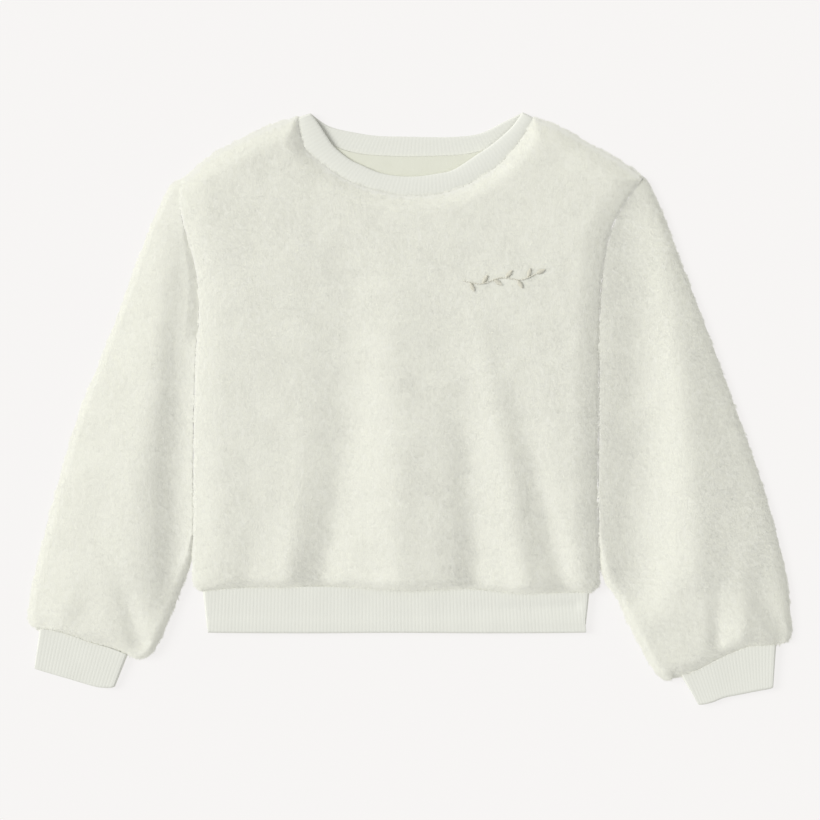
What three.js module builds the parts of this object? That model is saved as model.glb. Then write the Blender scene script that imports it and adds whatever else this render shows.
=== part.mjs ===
// A child's sherpa fleece pullover, laid flat on its back with the sleeves beside the body.
// Millimetres. X runs across the chest, Y from the hem towards the neck and Z up from the surface.
// The plan is drawn from the foot of the hem band on the body's middle line, and the whole garment
// is then set with the middle of its outline at the origin.

import * as THREE from "three";

// Driving sizes
const fleeceWall = 4.8; // knit backing and brushed pile
const ribWall = 2.6; // rib knit folded double
const hemGap = 0.9; // between the fleece and the hem band
const cuffGap = 1.2; // between a sleeve and its cuff
const armholeGap = 1.2; // between a sleeve and the body, measured across
const neckPull = 2.3; // the neckband starts this far inside the fleece's edge
const layGap = 0.4; // between two layers that lie on each other
const fleeceTop = 13.6; // a smooth stretch of the front above the surface
const leastWall = 1.4; // thickness that the upper layer keeps at its rim
const underRise = 1.8; // how far the underside lifts at its rim
const underRound = 4.5; // width of that lift
const bandSwell = 1.2; // how far a rib band stands up where the fleece draws it in
const ribPitch = 3.5; // from one rib to the next
const ribDepth = 0.7; // height of a rib over its groove

const fleeceLook = { color: 0xe6e7db, roughness: 1, metalness: 0 };
const backingLook = { color: 0xe2e4d6, roughness: 0.95, metalness: 0 };
const ribLook = { color: 0xe2e3d8, roughness: 0.95, metalness: 0 };

// Outlines as x and y of points along each edge, joined by a smooth curve
const hemSeam = [
  [-194, 42], [-150, 45.5], [-53, 46.5], [10, 43.2], [65, 44.5], [125, 40], [193, 41],
];
const hemEnd = [
  [-190, 5], [-187, 1.2], [-180, 0], [-90, -0.5], [0, 0], [90, -0.5], [181, 0], [187, 1], [189, 4],
];
const bodyLeft = [
  [-194, 42], [-200, 46], [-203, 57], [-202, 130], [-202, 190], [-200, 273], [-197, 315],
  [-198, 350], [-204, 380], [-213, 412], [-216, 432], [-214, 453],
];
const bodyRight = [
  [193, 41], [199, 46], [202, 58], [200, 133], [201, 233], [202, 300], [203, 333],
  [207, 375], [214, 404], [224, 424], [236, 443], [246, 456],
];
const shoulderLeft = [[-214, 453], [-190, 474], [-167, 488], [-130, 506], [-99, 516]];
const shoulderRight = [[138, 515], [165, 505], [193, 489], [222, 473], [246, 456]];
const frontNeck = [
  [-99, 516], [-97, 500], [-91, 483], [-81, 474], [-63, 461], [-50, 453], [-27, 444],
  [3, 437.5], [23, 437], [43, 439], [58, 443], [73, 449], [93, 461], [108, 473], [118, 485],
  [128, 499], [138, 515],
];
const frontNeckTop = [
  [-86, 520], [-77, 508], [-70, 497], [-62, 486], [-47, 474], [-37, 469], [-17, 460.5],
  [3, 457], [23, 457], [43, 460], [53, 462], [63, 467], [81, 479], [93, 487], [103, 495],
  [115, 506], [126, 521],
];
const backNeck = [
  [-99, 516], [-90, 503], [-73, 492], [-45, 481], [-7, 477], [33, 477], [75, 480],
  [110, 493], [138, 515],
];
const backNeckTop = [
  [-86, 520], [-67, 507], [-37, 500], [-17, 497.5], [3, 497], [53, 496.5], [83, 500],
  [108, 512], [126, 521],
];
const sleeveLeftOuter = [
  [-215, 455], [-227, 445], [-247, 403], [-269, 343], [-297, 271], [-317, 221], [-337, 156],
  [-351, 103], [-362, 58], [-368, 24], [-367, 11], [-359, 4],
];
const sleeveLeftInner = [
  [-199, 298], [-201, 285], [-202, 262], [-203.4, 190], [-203.4, 130], [-204, 85], [-206, 69],
  [-215.3, 44], [-225, 20], [-237.2, -8], [-246, -21.5], [-260, -26],
];
const cuffLeftSeam = [
  [-359, 4], [-345, 3], [-326, -2], [-307, -9], [-285, -14], [-260, -26],
];
const cuffLeftEnd = [
  [-362, -34], [-361, -37], [-352, -38], [-327, -45], [-312, -51], [-297, -55], [-287, -55],
  [-282, -54],
];
const sleeveRightOuter = [
  [247, 457], [253, 449], [268, 416], [283, 375], [303, 323], [319, 280], [335, 236],
  [349.5, 196], [364.5, 153], [379.5, 101], [390.5, 53], [394.5, 13], [394.5, -3], [391, -9],
];
const sleeveRightInner = [
  [203, 298], [202.6, 285], [202.4, 233], [201.6, 133], [203, 75], [208, 53], [221, 33],
  [231, 11], [240, -7], [250, -26], [259, -40], [268, -47], [281, -43],
];
const cuffRightSeam = [
  [281, -43], [298, -38], [312, -31], [333, -20], [353, -13], [376, -12], [391, -9],
];
const cuffRightEnd = [
  [301, -69], [303, -72], [315, -70], [328, -65], [343, -62], [358, -59], [374, -56], [377, -54],
];

// Folds of the cloth. Each runs from a start through a middle to an end, is a soft ridge where its
// rise is positive and a trough where it is negative, and spreads to the stated width on each side.
// The rise goes evenly from its first value at the start to its last one at the end.
const foldOf = (fromX, fromY, midX, midY, toX, toY, width, first, last) => ({
  path: new THREE.QuadraticBezierCurve(
    new THREE.Vector2(fromX, fromY),
    new THREE.Vector2(2 * midX - (fromX + toX) / 2, 2 * midY - (fromY + toY) / 2),
    new THREE.Vector2(toX, toY),
  ).getPoints(16),
  width,
  first,
  last,
});
const bodyFolds = [
  foldOf(-52, 373, -51, 283, -53, 193, 28, -0.8, -1.8),
  foldOf(-49, 233, -59, 133, -80, 41, 17, -0.4, -3.1),
  foldOf(-94, 198, -101, 113, -113, 43, 14, 0.3, 1.2),
  foldOf(-134, 133, -143, 88, -151, 41, 12, 0, -0.8),
  foldOf(-8, 333, 2, 183, 3, 41, 30, 0.8, 3.2),
  foldOf(58, 273, 70, 153, 74, 41, 14, 0, -2),
  foldOf(74, 343, 104, 203, 127, 48, 16, 0.3, 2),
  foldOf(112, 283, 136, 178, 174, 41, 12, 0, -2.6),
  foldOf(131, 333, 157, 223, 182, 83, 16, 0.3, 0.6),
];
const sleeveLeftFolds = [
  foldOf(-231, 373, -247, 213, -261, 73, 26, 0.6, 1.6),
  foldOf(-208, 408, -219, 233, -226, 33, 13, -0.9, -2),
  foldOf(-276, 73, -266, 21, -255, -10, 9, 0, -2),
  foldOf(-331, 83, -327, 43, -335, 18, 14, 0, 0.8),
];
const sleeveRightFolds = [
  foldOf(229, 410, 245, 238, 235, 48, 24, -3, -5),
  foldOf(269, 373, 294, 213, 297, 63, 22, 0.8, 1.8),
  foldOf(318, 63, 321, 21, 320, -8, 8, 0, -1.8),
  foldOf(341, 83, 346, 33, 346, 0, 10, 0, 1.2),
  foldOf(353, 88, 370, 30, 384, -4, 10, 0, -1.8),
];
const hemFolds = [
  foldOf(40, 27, 95, 25, 178, 27, 6, -1.8, -1.8),
  foldOf(-185, 10, 0, 9, 185, 11, 6, 0.6, 0.6),
];

// Curves, spacing and distance
const curveOf = (rows) => new THREE.SplineCurve(rows.map(([x, y]) => new THREE.Vector2(x, y)));
const along = (curve, shares) => shares.map((share) => curve.getPointAt(share));
const even = (count) => Array.from({ length: count + 1 }, (_, i) => i / count);

// Shares from 0 to 1 with close steps of the stated sizes at both ends and even steps between
function edgedShares(length, closeSteps, count) {
  const near = closeSteps.map((step) => step / length);
  const last = near[near.length - 1];
  const middle = even(count).map((share) => last + (1 - 2 * last) * share);
  return [...near.slice(0, -1), ...middle, ...near.slice(0, -1).reverse().map((share) => 1 - share)];
}

// Distance from a point to a line of points, and the number of the line's nearest stretch
function nearestStretch(point, line) {
  let [away, nearest] = [Infinity, 0];
  for (let i = 0; i + 1 < line.length; i++) {
    const [a, b] = [line[i], line[i + 1]];
    const lengthSquared = Math.max(a.distanceToSquared(b), 1e-9);
    const share = ((point.x - a.x) * (b.x - a.x) + (point.y - a.y) * (b.y - a.y)) / lengthSquared;
    const held = THREE.MathUtils.clamp(share, 0, 1);
    const stepX = point.x - a.x - held * (b.x - a.x);
    const stepY = point.y - a.y - held * (b.y - a.y);
    const distance = Math.hypot(stepX, stepY);
    if (distance < away) {
      [away, nearest] = [distance, i];
    }
  }
  return { away, nearest };
}
const distanceToLine = (point, line) => nearestStretch(point, line).away;

// How far the folds raise or lower the cloth at a point of the plan
const foldRise = (point, folds) => folds.reduce((sum, fold) => {
  const { away, nearest } = nearestStretch(point, fold.path);
  const share = nearest / (fold.path.length - 2);
  const rise = THREE.MathUtils.lerp(fold.first, fold.last, share);
  return sum + rise * Math.exp(-((away / fold.width) ** 2));
}, 0);

// A quarter round: 0 at the rim and 1 from the stated distance inwards
function roundOff(distance, reach) {
  const share = 1 - Math.min(distance / reach, 1);
  return Math.sqrt(Math.max(0, 1 - share * share));
}

// The lower layer reaches up to the lay line, and the upper one starts a gap above it
const layLine = fleeceWall;
const upperFoot = layLine + layGap;

// How the cloth comes down to one edge: by the drop over the reach, and by the lip in a quarter
// round of the turn's radius
const edgeOf = (line, reach, drop, lip, turn) => ({ line, reach, drop, lip, turn });

function sunkAt(point, edge) {
  const away = distanceToLine(point, edge.line);
  const slope = edge.drop * (1 - Math.min(away / edge.reach, 1)) ** 2;
  return slope + edge.lip * (1 - roundOff(away, edge.turn));
}

// Height of the upper layer's outer face. A trough goes down no further than the layer below lets
// it, and of several edges the one that sinks the cloth most counts.
function upperHeight(point, edges, folds) {
  const rise = foldRise(point, folds);
  const lowest = upperFoot + fleeceWall + 0.2 - fleeceTop;
  const held = rise < 0 ? lowest * (1 - Math.exp(rise / -lowest)) : rise;
  const sunk = Math.max(...edges.map((edge) => sunkAt(point, edge)));
  return Math.max(fleeceTop + held - sunk, upperFoot + leastWall);
}
const underHeight = (point, outline) =>
  underRise * (1 - roundOff(distanceToLine(point, outline), underRound));

// Solids from rows of points

// Gathers vertices and triangles, and sets two of them for each four corners
class Builder {
  constructor() {
    this.places = [];
    this.triangles = [];
  }

  add(points) {
    const first = this.places.length / 3;
    points.forEach((point) => this.places.push(point.x, point.y, point.z));
    return points.map((_, i) => first + i);
  }

  quad(a, b, c, d) {
    this.triangles.push(a, b, c, a, c, d);
  }

  // Strip between two rows of vertices of one length
  strip(low, high, closed) {
    const count = closed ? low.length : low.length - 1;
    for (let i = 0; i < count; i++) {
      const next = (i + 1) % low.length;
      this.quad(low[i], low[next], high[next], high[i]);
    }
  }

  // Strip between two closed rings whose vertices differ in number, matched by share round the ring
  zip(low, lowShares, high, highShares) {
    let [i, j] = [0, 0];
    const nextLow = () => (i + 1 < low.length ? lowShares[i + 1] : 1);
    const nextHigh = () => (j + 1 < high.length ? highShares[j + 1] : 1);
    while (i < low.length || j < high.length) {
      const stepLow = j >= high.length || (i < low.length && nextLow() <= nextHigh());
      const [a, b] = [low[i % low.length], high[j % high.length]];
      if (stepLow) {
        this.triangles.push(a, low[(i + 1) % low.length], b);
        i++;
      } else {
        this.triangles.push(a, high[(j + 1) % high.length], b);
        j++;
      }
    }
  }

  mesh(name, look) {
    const geometry = new THREE.BufferGeometry();
    geometry.setAttribute("position", new THREE.Float32BufferAttribute(this.places, 3));
    geometry.setIndex(this.triangles);
    geometry.computeVertexNormals();
    const mesh = new THREE.Mesh(geometry, new THREE.MeshStandardMaterial(look));
    mesh.name = name;
    return mesh;
  }
}

// A sheet of cloth between an upper and a lower grid of points, closed all round its rim
function sheetMesh(name, look, upper, lower) {
  const builder = new Builder();
  const top = upper.map((row) => builder.add(row));
  const foot = lower.map((row) => builder.add(row));
  for (let i = 0; i + 1 < top.length; i++) {
    builder.strip(top[i], top[i + 1], false);
    builder.strip(foot[i + 1], foot[i], false);
  }
  const last = top.length - 1;
  const side = (column) => [top.map((row) => row.at(column)), foot.map((row) => row.at(column))];
  builder.strip(foot[0], top[0], false);
  builder.strip(top[last], foot[last], false);
  const [leftTop, leftFoot] = side(0);
  const [rightTop, rightFoot] = side(-1);
  builder.strip(leftTop, leftFoot, false);
  builder.strip(rightFoot, rightTop, false);
  return builder.mesh(name, look);
}

// A tube of cloth from rings along it, each an outer and an inner loop with the share of every point
function tubeMesh(name, look, rings, outerShares, innerShares) {
  const builder = new Builder();
  const outer = rings.map((ring) => builder.add(ring.outer));
  const inner = rings.map((ring) => builder.add(ring.inner));
  for (let i = 0; i + 1 < rings.length; i++) {
    builder.strip(outer[i + 1], outer[i], true);
    builder.strip(inner[i], inner[i + 1], true);
  }
  const last = rings.length - 1;
  builder.zip(outer[0], outerShares, inner[0], innerShares);
  builder.zip(inner[last], innerShares, outer[last], outerShares);
  return builder.mesh(name, look);
}

// Plan of the body: a net stretched between its four edges
const bodyWidth = 400;
const bodyHeight = 440;
const closeSteps = [0, 1.2, 4, 9];

function bodyNet(neckLine, columns, rows) {
  const edges = { foot: curveOf(hemSeam), left: curveOf(bodyLeft), right: curveOf(bodyRight) };
  const topLine = [curveOf(shoulderLeft), curveOf(neckLine), curveOf(shoulderRight)];
  const cuts = [0.24, 0.76];
  const topAt = (share) => {
    if (share < cuts[0]) {
      return topLine[0].getPointAt(share / cuts[0]);
    }
    if (share > cuts[1]) {
      return topLine[2].getPointAt((share - cuts[1]) / (1 - cuts[1]));
    }
    return topLine[1].getPointAt((share - cuts[0]) / (cuts[1] - cuts[0]));
  };
  const across = edgedShares(bodyWidth, closeSteps, columns);
  cuts.forEach((cut) => {
    const nearest = across.reduce((a, b) => (Math.abs(b - cut) < Math.abs(a - cut) ? b : a));
    across[across.indexOf(nearest)] = cut;
  });
  const up = edgedShares(bodyHeight, closeSteps, rows);
  const corners = [edges.foot.getPointAt(0), edges.foot.getPointAt(1), topAt(0), topAt(1)];
  const net = up.map((v) => across.map((u) => {
    const point = edges.foot.getPointAt(u).multiplyScalar(1 - v).addScaledVector(topAt(u), v);
    point.addScaledVector(edges.left.getPointAt(v), 1 - u).addScaledVector(edges.right.getPointAt(v), u);
    point.addScaledVector(corners[0], -(1 - u) * (1 - v)).addScaledVector(corners[1], -u * (1 - v));
    return point.addScaledVector(corners[2], -(1 - u) * v).addScaledVector(corners[3], -u * v);
  }));
  const outline = [
    ...net[0],
    ...net.map((row) => row.at(-1)),
    ...net.at(-1).toReversed(),
    ...net.map((row) => row[0]).toReversed(),
  ];
  return { net, outline, neckColumns: cuts.map((cut) => across.indexOf(cut)) };
}

const raised = (point, height) => new THREE.Vector3(point.x, point.y, height);

function frontPanel() {
  const { net, neckColumns } = bodyNet(frontNeck, 24, 21);
  const [neckStart, neckStop] = neckColumns;
  const top = net.at(-1);
  const edges = [
    edgeOf(net.map((row) => row[0]), 34, 2.8, 0.8, 1.5),
    edgeOf(net.map((row) => row.at(-1)), 36, 3.2, 0.6, 1.5),
    edgeOf(net[0], 10, 2, 2.6, 4),
    edgeOf(top.slice(0, neckStart + 1), 20, 3.4, 3.4, 5),
    edgeOf(top.slice(neckStart, neckStop + 1), 10, 3.4, 2.2, 4),
    edgeOf(top.slice(neckStop), 20, 3.4, 3.4, 5),
  ];
  const upper = net.map((row) => row.map((p) => raised(p, upperHeight(p, edges, bodyFolds))));
  const lower = upper.map((row) => row.map((p) => raised(p, Math.max(upperFoot, p.z - fleeceWall))));
  return sheetMesh("front_panel", fleeceLook, upper, lower);
}

function backPanel() {
  const { net, outline } = bodyNet(backNeck, 26, 14);
  const upper = net.map((row) => row.map((p) => raised(p, layLine)));
  const lower = net.map((row) => row.map((p) => raised(p, underHeight(p, outline))));
  return sheetMesh("back_panel", backingLook, upper, lower);
}

// A flattened sleeve: stations from the armhole seam to the cuff seam, each a closed section
const sleeveLength = 430;
const sleeveWidth = 130;

function sleeveMesh(name, plan, slopes, folds) {
  const stations = edgedShares(sleeveLength, closeSteps, 16);
  const acrossTop = edgedShares(sleeveWidth, [0, 0.8, 3.2, 9], 8);
  const acrossFoot = [0.03, 0.17, 0.34, 0.5, 0.66, 0.83, 0.97];
  const { armhole, leftEdge, rightEdge, cuffSeam } = plan;
  const corners = [armhole, cuffSeam].flatMap((edge) => [edge.getPointAt(0), edge.getPointAt(1)]);
  const planAt = (u, v) => {
    const point = armhole.getPointAt(u).multiplyScalar(1 - v).addScaledVector(cuffSeam.getPointAt(u), v);
    point.addScaledVector(leftEdge.getPointAt(v), 1 - u).addScaledVector(rightEdge.getPointAt(v), u);
    point.addScaledVector(corners[0], -(1 - u) * (1 - v)).addScaledVector(corners[1], -u * (1 - v));
    return point.addScaledVector(corners[2], -(1 - u) * v).addScaledVector(corners[3], -u * v);
  };
  const shares = even(60);
  const lines = { armhole, right: rightEdge, cuff: cuffSeam, left: leftEdge };
  const edges = Object.entries(lines).map(([side, line]) => edgeOf(along(line, shares), ...slopes[side]));
  const outline = [
    ...edges[0].line,
    ...edges[1].line,
    ...edges[2].line.toReversed(),
    ...edges[3].line.toReversed(),
  ];
  const inward = (u, width) => fleeceWall / width + (1 - (2 * fleeceWall) / width) * u;
  const rings = stations.map((v) => {
    const width = planAt(0, v).distanceTo(planAt(1, v));
    const top = acrossTop.map((u) => planAt(u, v));
    const foot = acrossFoot.toReversed().map((u) => planAt(u, v));
    const topInner = acrossTop.map((u) => planAt(inward(u, width), v));
    const footInner = acrossFoot.toReversed().map((u) => planAt(inward(u, width), v));
    const lastTop = acrossTop.length - 1;
    const isEdge = (i) => i === 0 || i === lastTop;
    const heightAt = (p) => upperHeight(p, edges, folds);
    const innerHeightAt = (p) => Math.max(upperFoot, heightAt(p) - fleeceWall);
    const edgeHeight = (layLine + upperFoot) / 2;
    return {
      outer: [
        ...top.map((p, i) => raised(p, isEdge(i) ? edgeHeight : heightAt(p))),
        ...foot.map((p) => raised(p, underHeight(p, outline))),
      ],
      inner: [
        ...topInner.map((p, i) => raised(p, isEdge(i) ? edgeHeight : innerHeightAt(p))),
        ...footInner.map((p) => raised(p, layLine)),
      ],
    };
  });
  const roundShares = even(rings[0].outer.length).slice(0, -1);
  return tubeMesh(name, fleeceLook, rings, roundShares, roundShares);
}

// The armhole seam of a sleeve: the body's side between the underarm and the shoulder tip, set off
// by the gap and left out just beside both ends
const armholeStart = 12;
const armholeEnd = 6;

function armholeOf(side, underarm, tip, sign) {
  const held = (p) => p.y > underarm[1] + armholeStart && p.y < tip[1] - armholeEnd;
  const points = along(curveOf(side), even(80)).filter(held);
  const moved = points.map((p) => [p.x + sign * armholeGap, p.y]);
  const rows = [tip, ...moved.toReversed().filter((_, i) => i % 4 === 0), underarm];
  return curveOf(sign < 0 ? rows : rows.toReversed());
}

// Ribs: shares from 0 to 1, alternately in a groove and on a rib
const ribShares = (length) => even(2 * Math.round(length / ribPitch));
const ribRise = (index) => (index % 2 === 1 ? ribDepth : 0);

// Shares round a flattened ring, whose upper layer is its first half and whose lower one runs back
const ringShares = (upper, lower) => [...upper.map((u) => u / 2), ...lower.map((u) => 1 - u / 2)];

// A flattened rib tube between a seam and a free end, ribbed on the upper layer's outer face
function ribTube(name, plan, sizes) {
  const seam = curveOf(plan.seam);
  const end = curveOf(plan.end);
  const onTop = ribShares(seam.getLength());
  const acrossFoot = edgedShares(seam.getLength(), [0, 1.4], Math.ceil(seam.getLength() / 24))
    .slice(1, -1).reverse();
  const innerTop = [0, 0.02, 0.12, 0.25, 0.37, 0.5, 0.63, 0.75, 0.88, 0.98, 1];
  const rings = sizes.stations.map(({ down, lift, thin }) => {
    const at = (u) => seam.getPointAt(u).lerp(end.getPointAt(u), down);
    const width = at(0).distanceTo(at(1));
    const inset = (u) => ribWall / width + (1 - (2 * ribWall) / width) * u;
    const foot = ribWall + layGap + lift;
    const crown = (p, u) => {
      const side = roundOff(Math.min(u, 1 - u) * width, 3.2);
      const fold = Math.max(0, foldRise(p, sizes.folds) + bandSwell);
      return foot + thin + (ribWall - thin + fold) * side;
    };
    const middle = ribWall + layGap / 2 + lift / 2;
    const topAt = (u, i) => {
      const point = at(u);
      return raised(point, u === 0 || u === 1 ? middle : crown(point, u) + ribRise(i));
    };
    const innerAt = (u) => {
      const point = at(inset(u));
      const flat = Math.max(foot, crown(point, inset(u)) - ribWall);
      return raised(point, u === 0 || u === 1 ? middle : flat);
    };
    return {
      outer: [
        ...onTop.map(topAt),
        ...acrossFoot.map((u) => raised(at(u), 0.5 * (1 - roundOff(Math.min(u, 1 - u) * width, 3)))),
      ],
      inner: [
        ...innerTop.map(innerAt),
        ...acrossFoot.map((u) => raised(at(inset(u)), ribWall)),
      ],
    };
  });
  const outerShares = ringShares(onTop, acrossFoot);
  return tubeMesh(name, ribLook, rings, outerShares, ringShares(innerTop, acrossFoot));
}

// Stations down a rib band: a share of its height, how far the upper layer is lifted there, and
// how thick its wall is at the folded side edges
const bandStations = [
  { down: 0, lift: 1.6, thin: 1.2 },
  { down: 0.3, lift: 1, thin: 1.2 },
  { down: 0.92, lift: 0.3, thin: 1.2 },
  { down: 1, lift: 0, thin: 0.8 },
];

const offset = (rows, x, y) => rows.map(([px, py]) => [px + x, py + y]);

function hemBandMesh() {
  const plan = { seam: offset(hemSeam, 0, -hemGap), end: hemEnd };
  return ribTube("hem_band", plan, { stations: bandStations, folds: hemFolds });
}

// A cuff is narrower than the sleeve gathered to it, by an inset on its left and one on its right
function cuffMesh(name, seamRows, insets, end, down) {
  const whole = curveOf(seamRows);
  const [left, right] = insets.map((inset) => inset / whole.getLength());
  const held = along(whole, even(6).map((u) => left + (1 - left - right) * u));
  const seam = held.map((p) => [p.x + down[0] * cuffGap, p.y + down[1] * cuffGap]);
  return ribTube(name, { seam, end }, { stations: bandStations, folds: [] });
}

// The neckband is one strip round the neck, turned over at both shoulders: its front half lies on
// top with its outer face up, and its back half lies below with its inner face up.
function neckbandMesh() {
  const front = { seam: curveOf(frontNeck), edge: curveOf(frontNeckTop) };
  const back = { seam: curveOf(backNeck), edge: curveOf(backNeckTop) };
  const frontU = ribShares(front.edge.getLength());
  const backU = ribShares(back.edge.getLength()).slice(1, -1).toReversed();
  const innerU = edgedShares(1, [0, 0.008], 26);
  const innerBackU = even(20).slice(1, -1).toReversed();
  const stations = [
    { up: 1, lift: 0 },
    { up: 0.9, lift: 0.4 },
    { up: 0.2, lift: 0.8 },
    { up: 0, lift: 0.2 },
  ];
  const bandAt = (half, u, up) => {
    const [start, end] = [half.seam.getPointAt(u), half.edge.getPointAt(u)];
    const drawn = neckPull / Math.max(start.distanceTo(end), neckPull);
    return start.lerp(end, drawn + (1 - drawn) * up);
  };
  const footOf = (u, lift) => (u === 0 || u === 1 ? ribWall + layGap : upperFoot + lift);
  const rings = stations.map(({ up, lift }) => ({
    outer: [
      ...frontU.map((u, i) => raised(bandAt(front, u, up), footOf(u, lift) + ribWall + ribRise(i))),
      ...backU.map((u) => raised(bandAt(back, u, up), 0)),
    ],
    inner: [
      ...innerU.map((u) => raised(bandAt(front, u, up), footOf(u, lift))),
      ...innerBackU.map((u) => raised(bandAt(back, u, up), ribWall)),
    ],
  }));
  const outerShares = ringShares(frontU, backU);
  return tubeMesh("neckband", ribLook, rings, outerShares, ringShares(innerU, innerBackU));
}

const leftSleeve = {
  armhole: armholeOf(bodyLeft, [-199, 298], [-215, 455], -1),
  leftEdge: curveOf(sleeveLeftOuter),
  rightEdge: curveOf(sleeveLeftInner),
  cuffSeam: curveOf(cuffLeftSeam),
};
const rightSleeve = {
  armhole: armholeOf(bodyRight, [203, 298], [247, 457], 1),
  leftEdge: curveOf(sleeveRightInner),
  rightEdge: curveOf(sleeveRightOuter),
  cuffSeam: curveOf(cuffRightSeam),
};

// Reach, drop, lip and turn of each edge of a sleeve
const sleeveLeftSlopes = {
  armhole: [16, 2.4, 0.6, 1.2],
  right: [5, 0.5, 0.6, 1.2],
  cuff: [14, 2.4, 3, 4],
  left: [80, 4.2, 3.4, 5],
};
const sleeveRightSlopes = {
  armhole: [8, 0.9, 0.6, 1.2],
  right: [75, 4.2, 3.4, 5],
  cuff: [14, 2.4, 3, 4],
  left: [8, 0.9, 0.6, 1.2],
};

const garment = new THREE.Group();
garment.add(
  frontPanel(),
  backPanel(),
  sleeveMesh("sleeve_left", leftSleeve, sleeveLeftSlopes, sleeveLeftFolds),
  sleeveMesh("sleeve_right", rightSleeve, sleeveRightSlopes, sleeveRightFolds),
  hemBandMesh(),
  cuffMesh("cuff_left", cuffLeftSeam, [1.5, 10], cuffLeftEnd, [-0.2, -1]),
  cuffMesh("cuff_right", cuffRightSeam, [3, 12], cuffRightEnd, [0.2, -1]),
  neckbandMesh(),
);

const bounds = new THREE.Box3().setFromObject(garment);
const middle = bounds.getCenter(new THREE.Vector3());
garment.position.set(-middle.x, -middle.y, -bounds.min.z);

const pullover = new THREE.Group();
pullover.add(garment);

export default pullover;
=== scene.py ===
"""Looks of a child's sherpa fleece pullover that lies flat on its back, sleeves beside the body.

The plan is drawn in millimetres from the foot of the hem band on the body's middle line, and every
mesh is set into the frame by the front panel's box. Each fleece piece is a thin shell with a pile of
short hairs on it, and each rib band is a thin wall with its ribs raised.
"""

import logging
import math
from dataclasses import dataclass
from enum import Enum
from typing import Callable, Optional, Sequence, Union

import bpy
import numpy as np
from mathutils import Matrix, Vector


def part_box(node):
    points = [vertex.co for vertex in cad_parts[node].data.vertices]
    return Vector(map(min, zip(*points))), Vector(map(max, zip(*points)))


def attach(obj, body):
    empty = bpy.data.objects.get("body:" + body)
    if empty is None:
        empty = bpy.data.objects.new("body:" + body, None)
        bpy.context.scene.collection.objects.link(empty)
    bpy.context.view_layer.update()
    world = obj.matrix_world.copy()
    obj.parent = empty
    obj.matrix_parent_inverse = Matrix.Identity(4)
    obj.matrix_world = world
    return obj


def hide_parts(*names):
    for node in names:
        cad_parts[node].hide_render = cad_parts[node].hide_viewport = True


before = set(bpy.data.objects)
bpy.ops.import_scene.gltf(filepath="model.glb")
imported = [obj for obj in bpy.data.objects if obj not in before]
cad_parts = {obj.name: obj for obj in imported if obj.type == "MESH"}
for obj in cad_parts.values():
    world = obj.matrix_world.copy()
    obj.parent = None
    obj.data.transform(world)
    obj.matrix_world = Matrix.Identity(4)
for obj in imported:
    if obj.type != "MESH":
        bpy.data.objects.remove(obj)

log = logging.getLogger("pullover")

MM = 0.001
ROOT = "root"

Rows = Sequence[Sequence[float]]
Number = Union[int, float]

# Walls and layers of the cloth, in millimetres
FLEECE_WALL = 4.8
RIB_WALL = 2.6
LAY_GAP = 0.4
BODY_TOP = 13.6
SLEEVE_TOP = 12.6
LEAST_TOP = 8.6
UNDER_RISE = 1.8
UNDER_ROUND = 4.5
BAND_SWELL = 1.2
RIB_PITCH = 3.5
PILE_DEPTH = 1.6
CLOTH_FOOT = 0.8
HEM_INSET = 1.4
SIDE_INSET = 0.2
ARMHOLE_GAP = 1.2

# Least heights of a hair's tip, root and corners above the surface, in millimetres
LOWEST_TIP = 0.15
LOWEST_ROOT = 0.1
LOWEST_CORNER = 0.05

# Tones between a hair's root at 0 and its tip at 1; the lower tones paint shade deep in the pile, at the
# roots and on the cloth below the hairs
SHADED_ROOT_TONE = 0.4
SHADED_CLOTH_TONE = 0.6

# Outlines as x and y of points along each edge, in millimetres
HEM_SEAM: Rows = (
    (-194, 42), (-150, 45.5), (-53, 46.5), (10, 43.2), (65, 44.5), (125, 40), (193, 41),
)
HEM_END: Rows = (
    (-190, 5), (-187, 1.2), (-180, 0), (-90, -0.5), (0, 0), (90, -0.5), (181, 0), (187, 1), (189, 4),
)
BODY_LEFT: Rows = (
    (-194, 42), (-200, 46), (-203, 57), (-202, 130), (-202, 190), (-200, 273), (-197, 315),
    (-198, 350), (-204, 380), (-213, 412), (-216, 432), (-214, 453),
)
BODY_RIGHT: Rows = (
    (193, 41), (199, 46), (202, 58), (200, 133), (201, 233), (202, 300), (203, 333),
    (207, 375), (214, 404), (224, 424), (236, 443), (246, 456),
)
SHOULDER_LEFT: Rows = ((-214, 453), (-190, 474), (-167, 488), (-130, 506), (-99, 516))
SHOULDER_RIGHT: Rows = ((138, 515), (165, 505), (193, 489), (222, 473), (246, 456))
FRONT_NECK: Rows = (
    (-99, 516), (-97, 500), (-91, 483), (-81, 474), (-63, 461), (-50, 453), (-27, 444),
    (3, 437.5), (23, 437), (43, 439), (58, 443), (73, 449), (93, 461), (108, 473), (118, 485),
    (128, 499), (138, 515),
)
FRONT_NECK_TOP: Rows = (
    (-86, 520), (-77, 508), (-70, 497), (-62, 486), (-47, 474), (-37, 469), (-17, 460.5),
    (3, 457), (23, 457), (43, 460), (53, 462), (63, 467), (81, 479), (93, 487), (103, 495),
    (115, 506), (126, 521),
)
BACK_NECK: Rows = (
    (-99, 516), (-90, 503), (-73, 492), (-45, 481), (-7, 477), (33, 477), (75, 480), (110, 493),
    (138, 515),
)
BACK_NECK_TOP: Rows = (
    (-86, 520), (-67, 507), (-37, 500), (-17, 497.5), (3, 497), (53, 496.5), (83, 500),
    (108, 512), (126, 521),
)
SLEEVE_LEFT_OUTER: Rows = (
    (-215, 455), (-227, 445), (-247, 403), (-269, 343), (-297, 271), (-317, 221), (-337, 156),
    (-351, 103), (-362, 58), (-368, 24), (-367, 11), (-359, 4),
)
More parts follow.
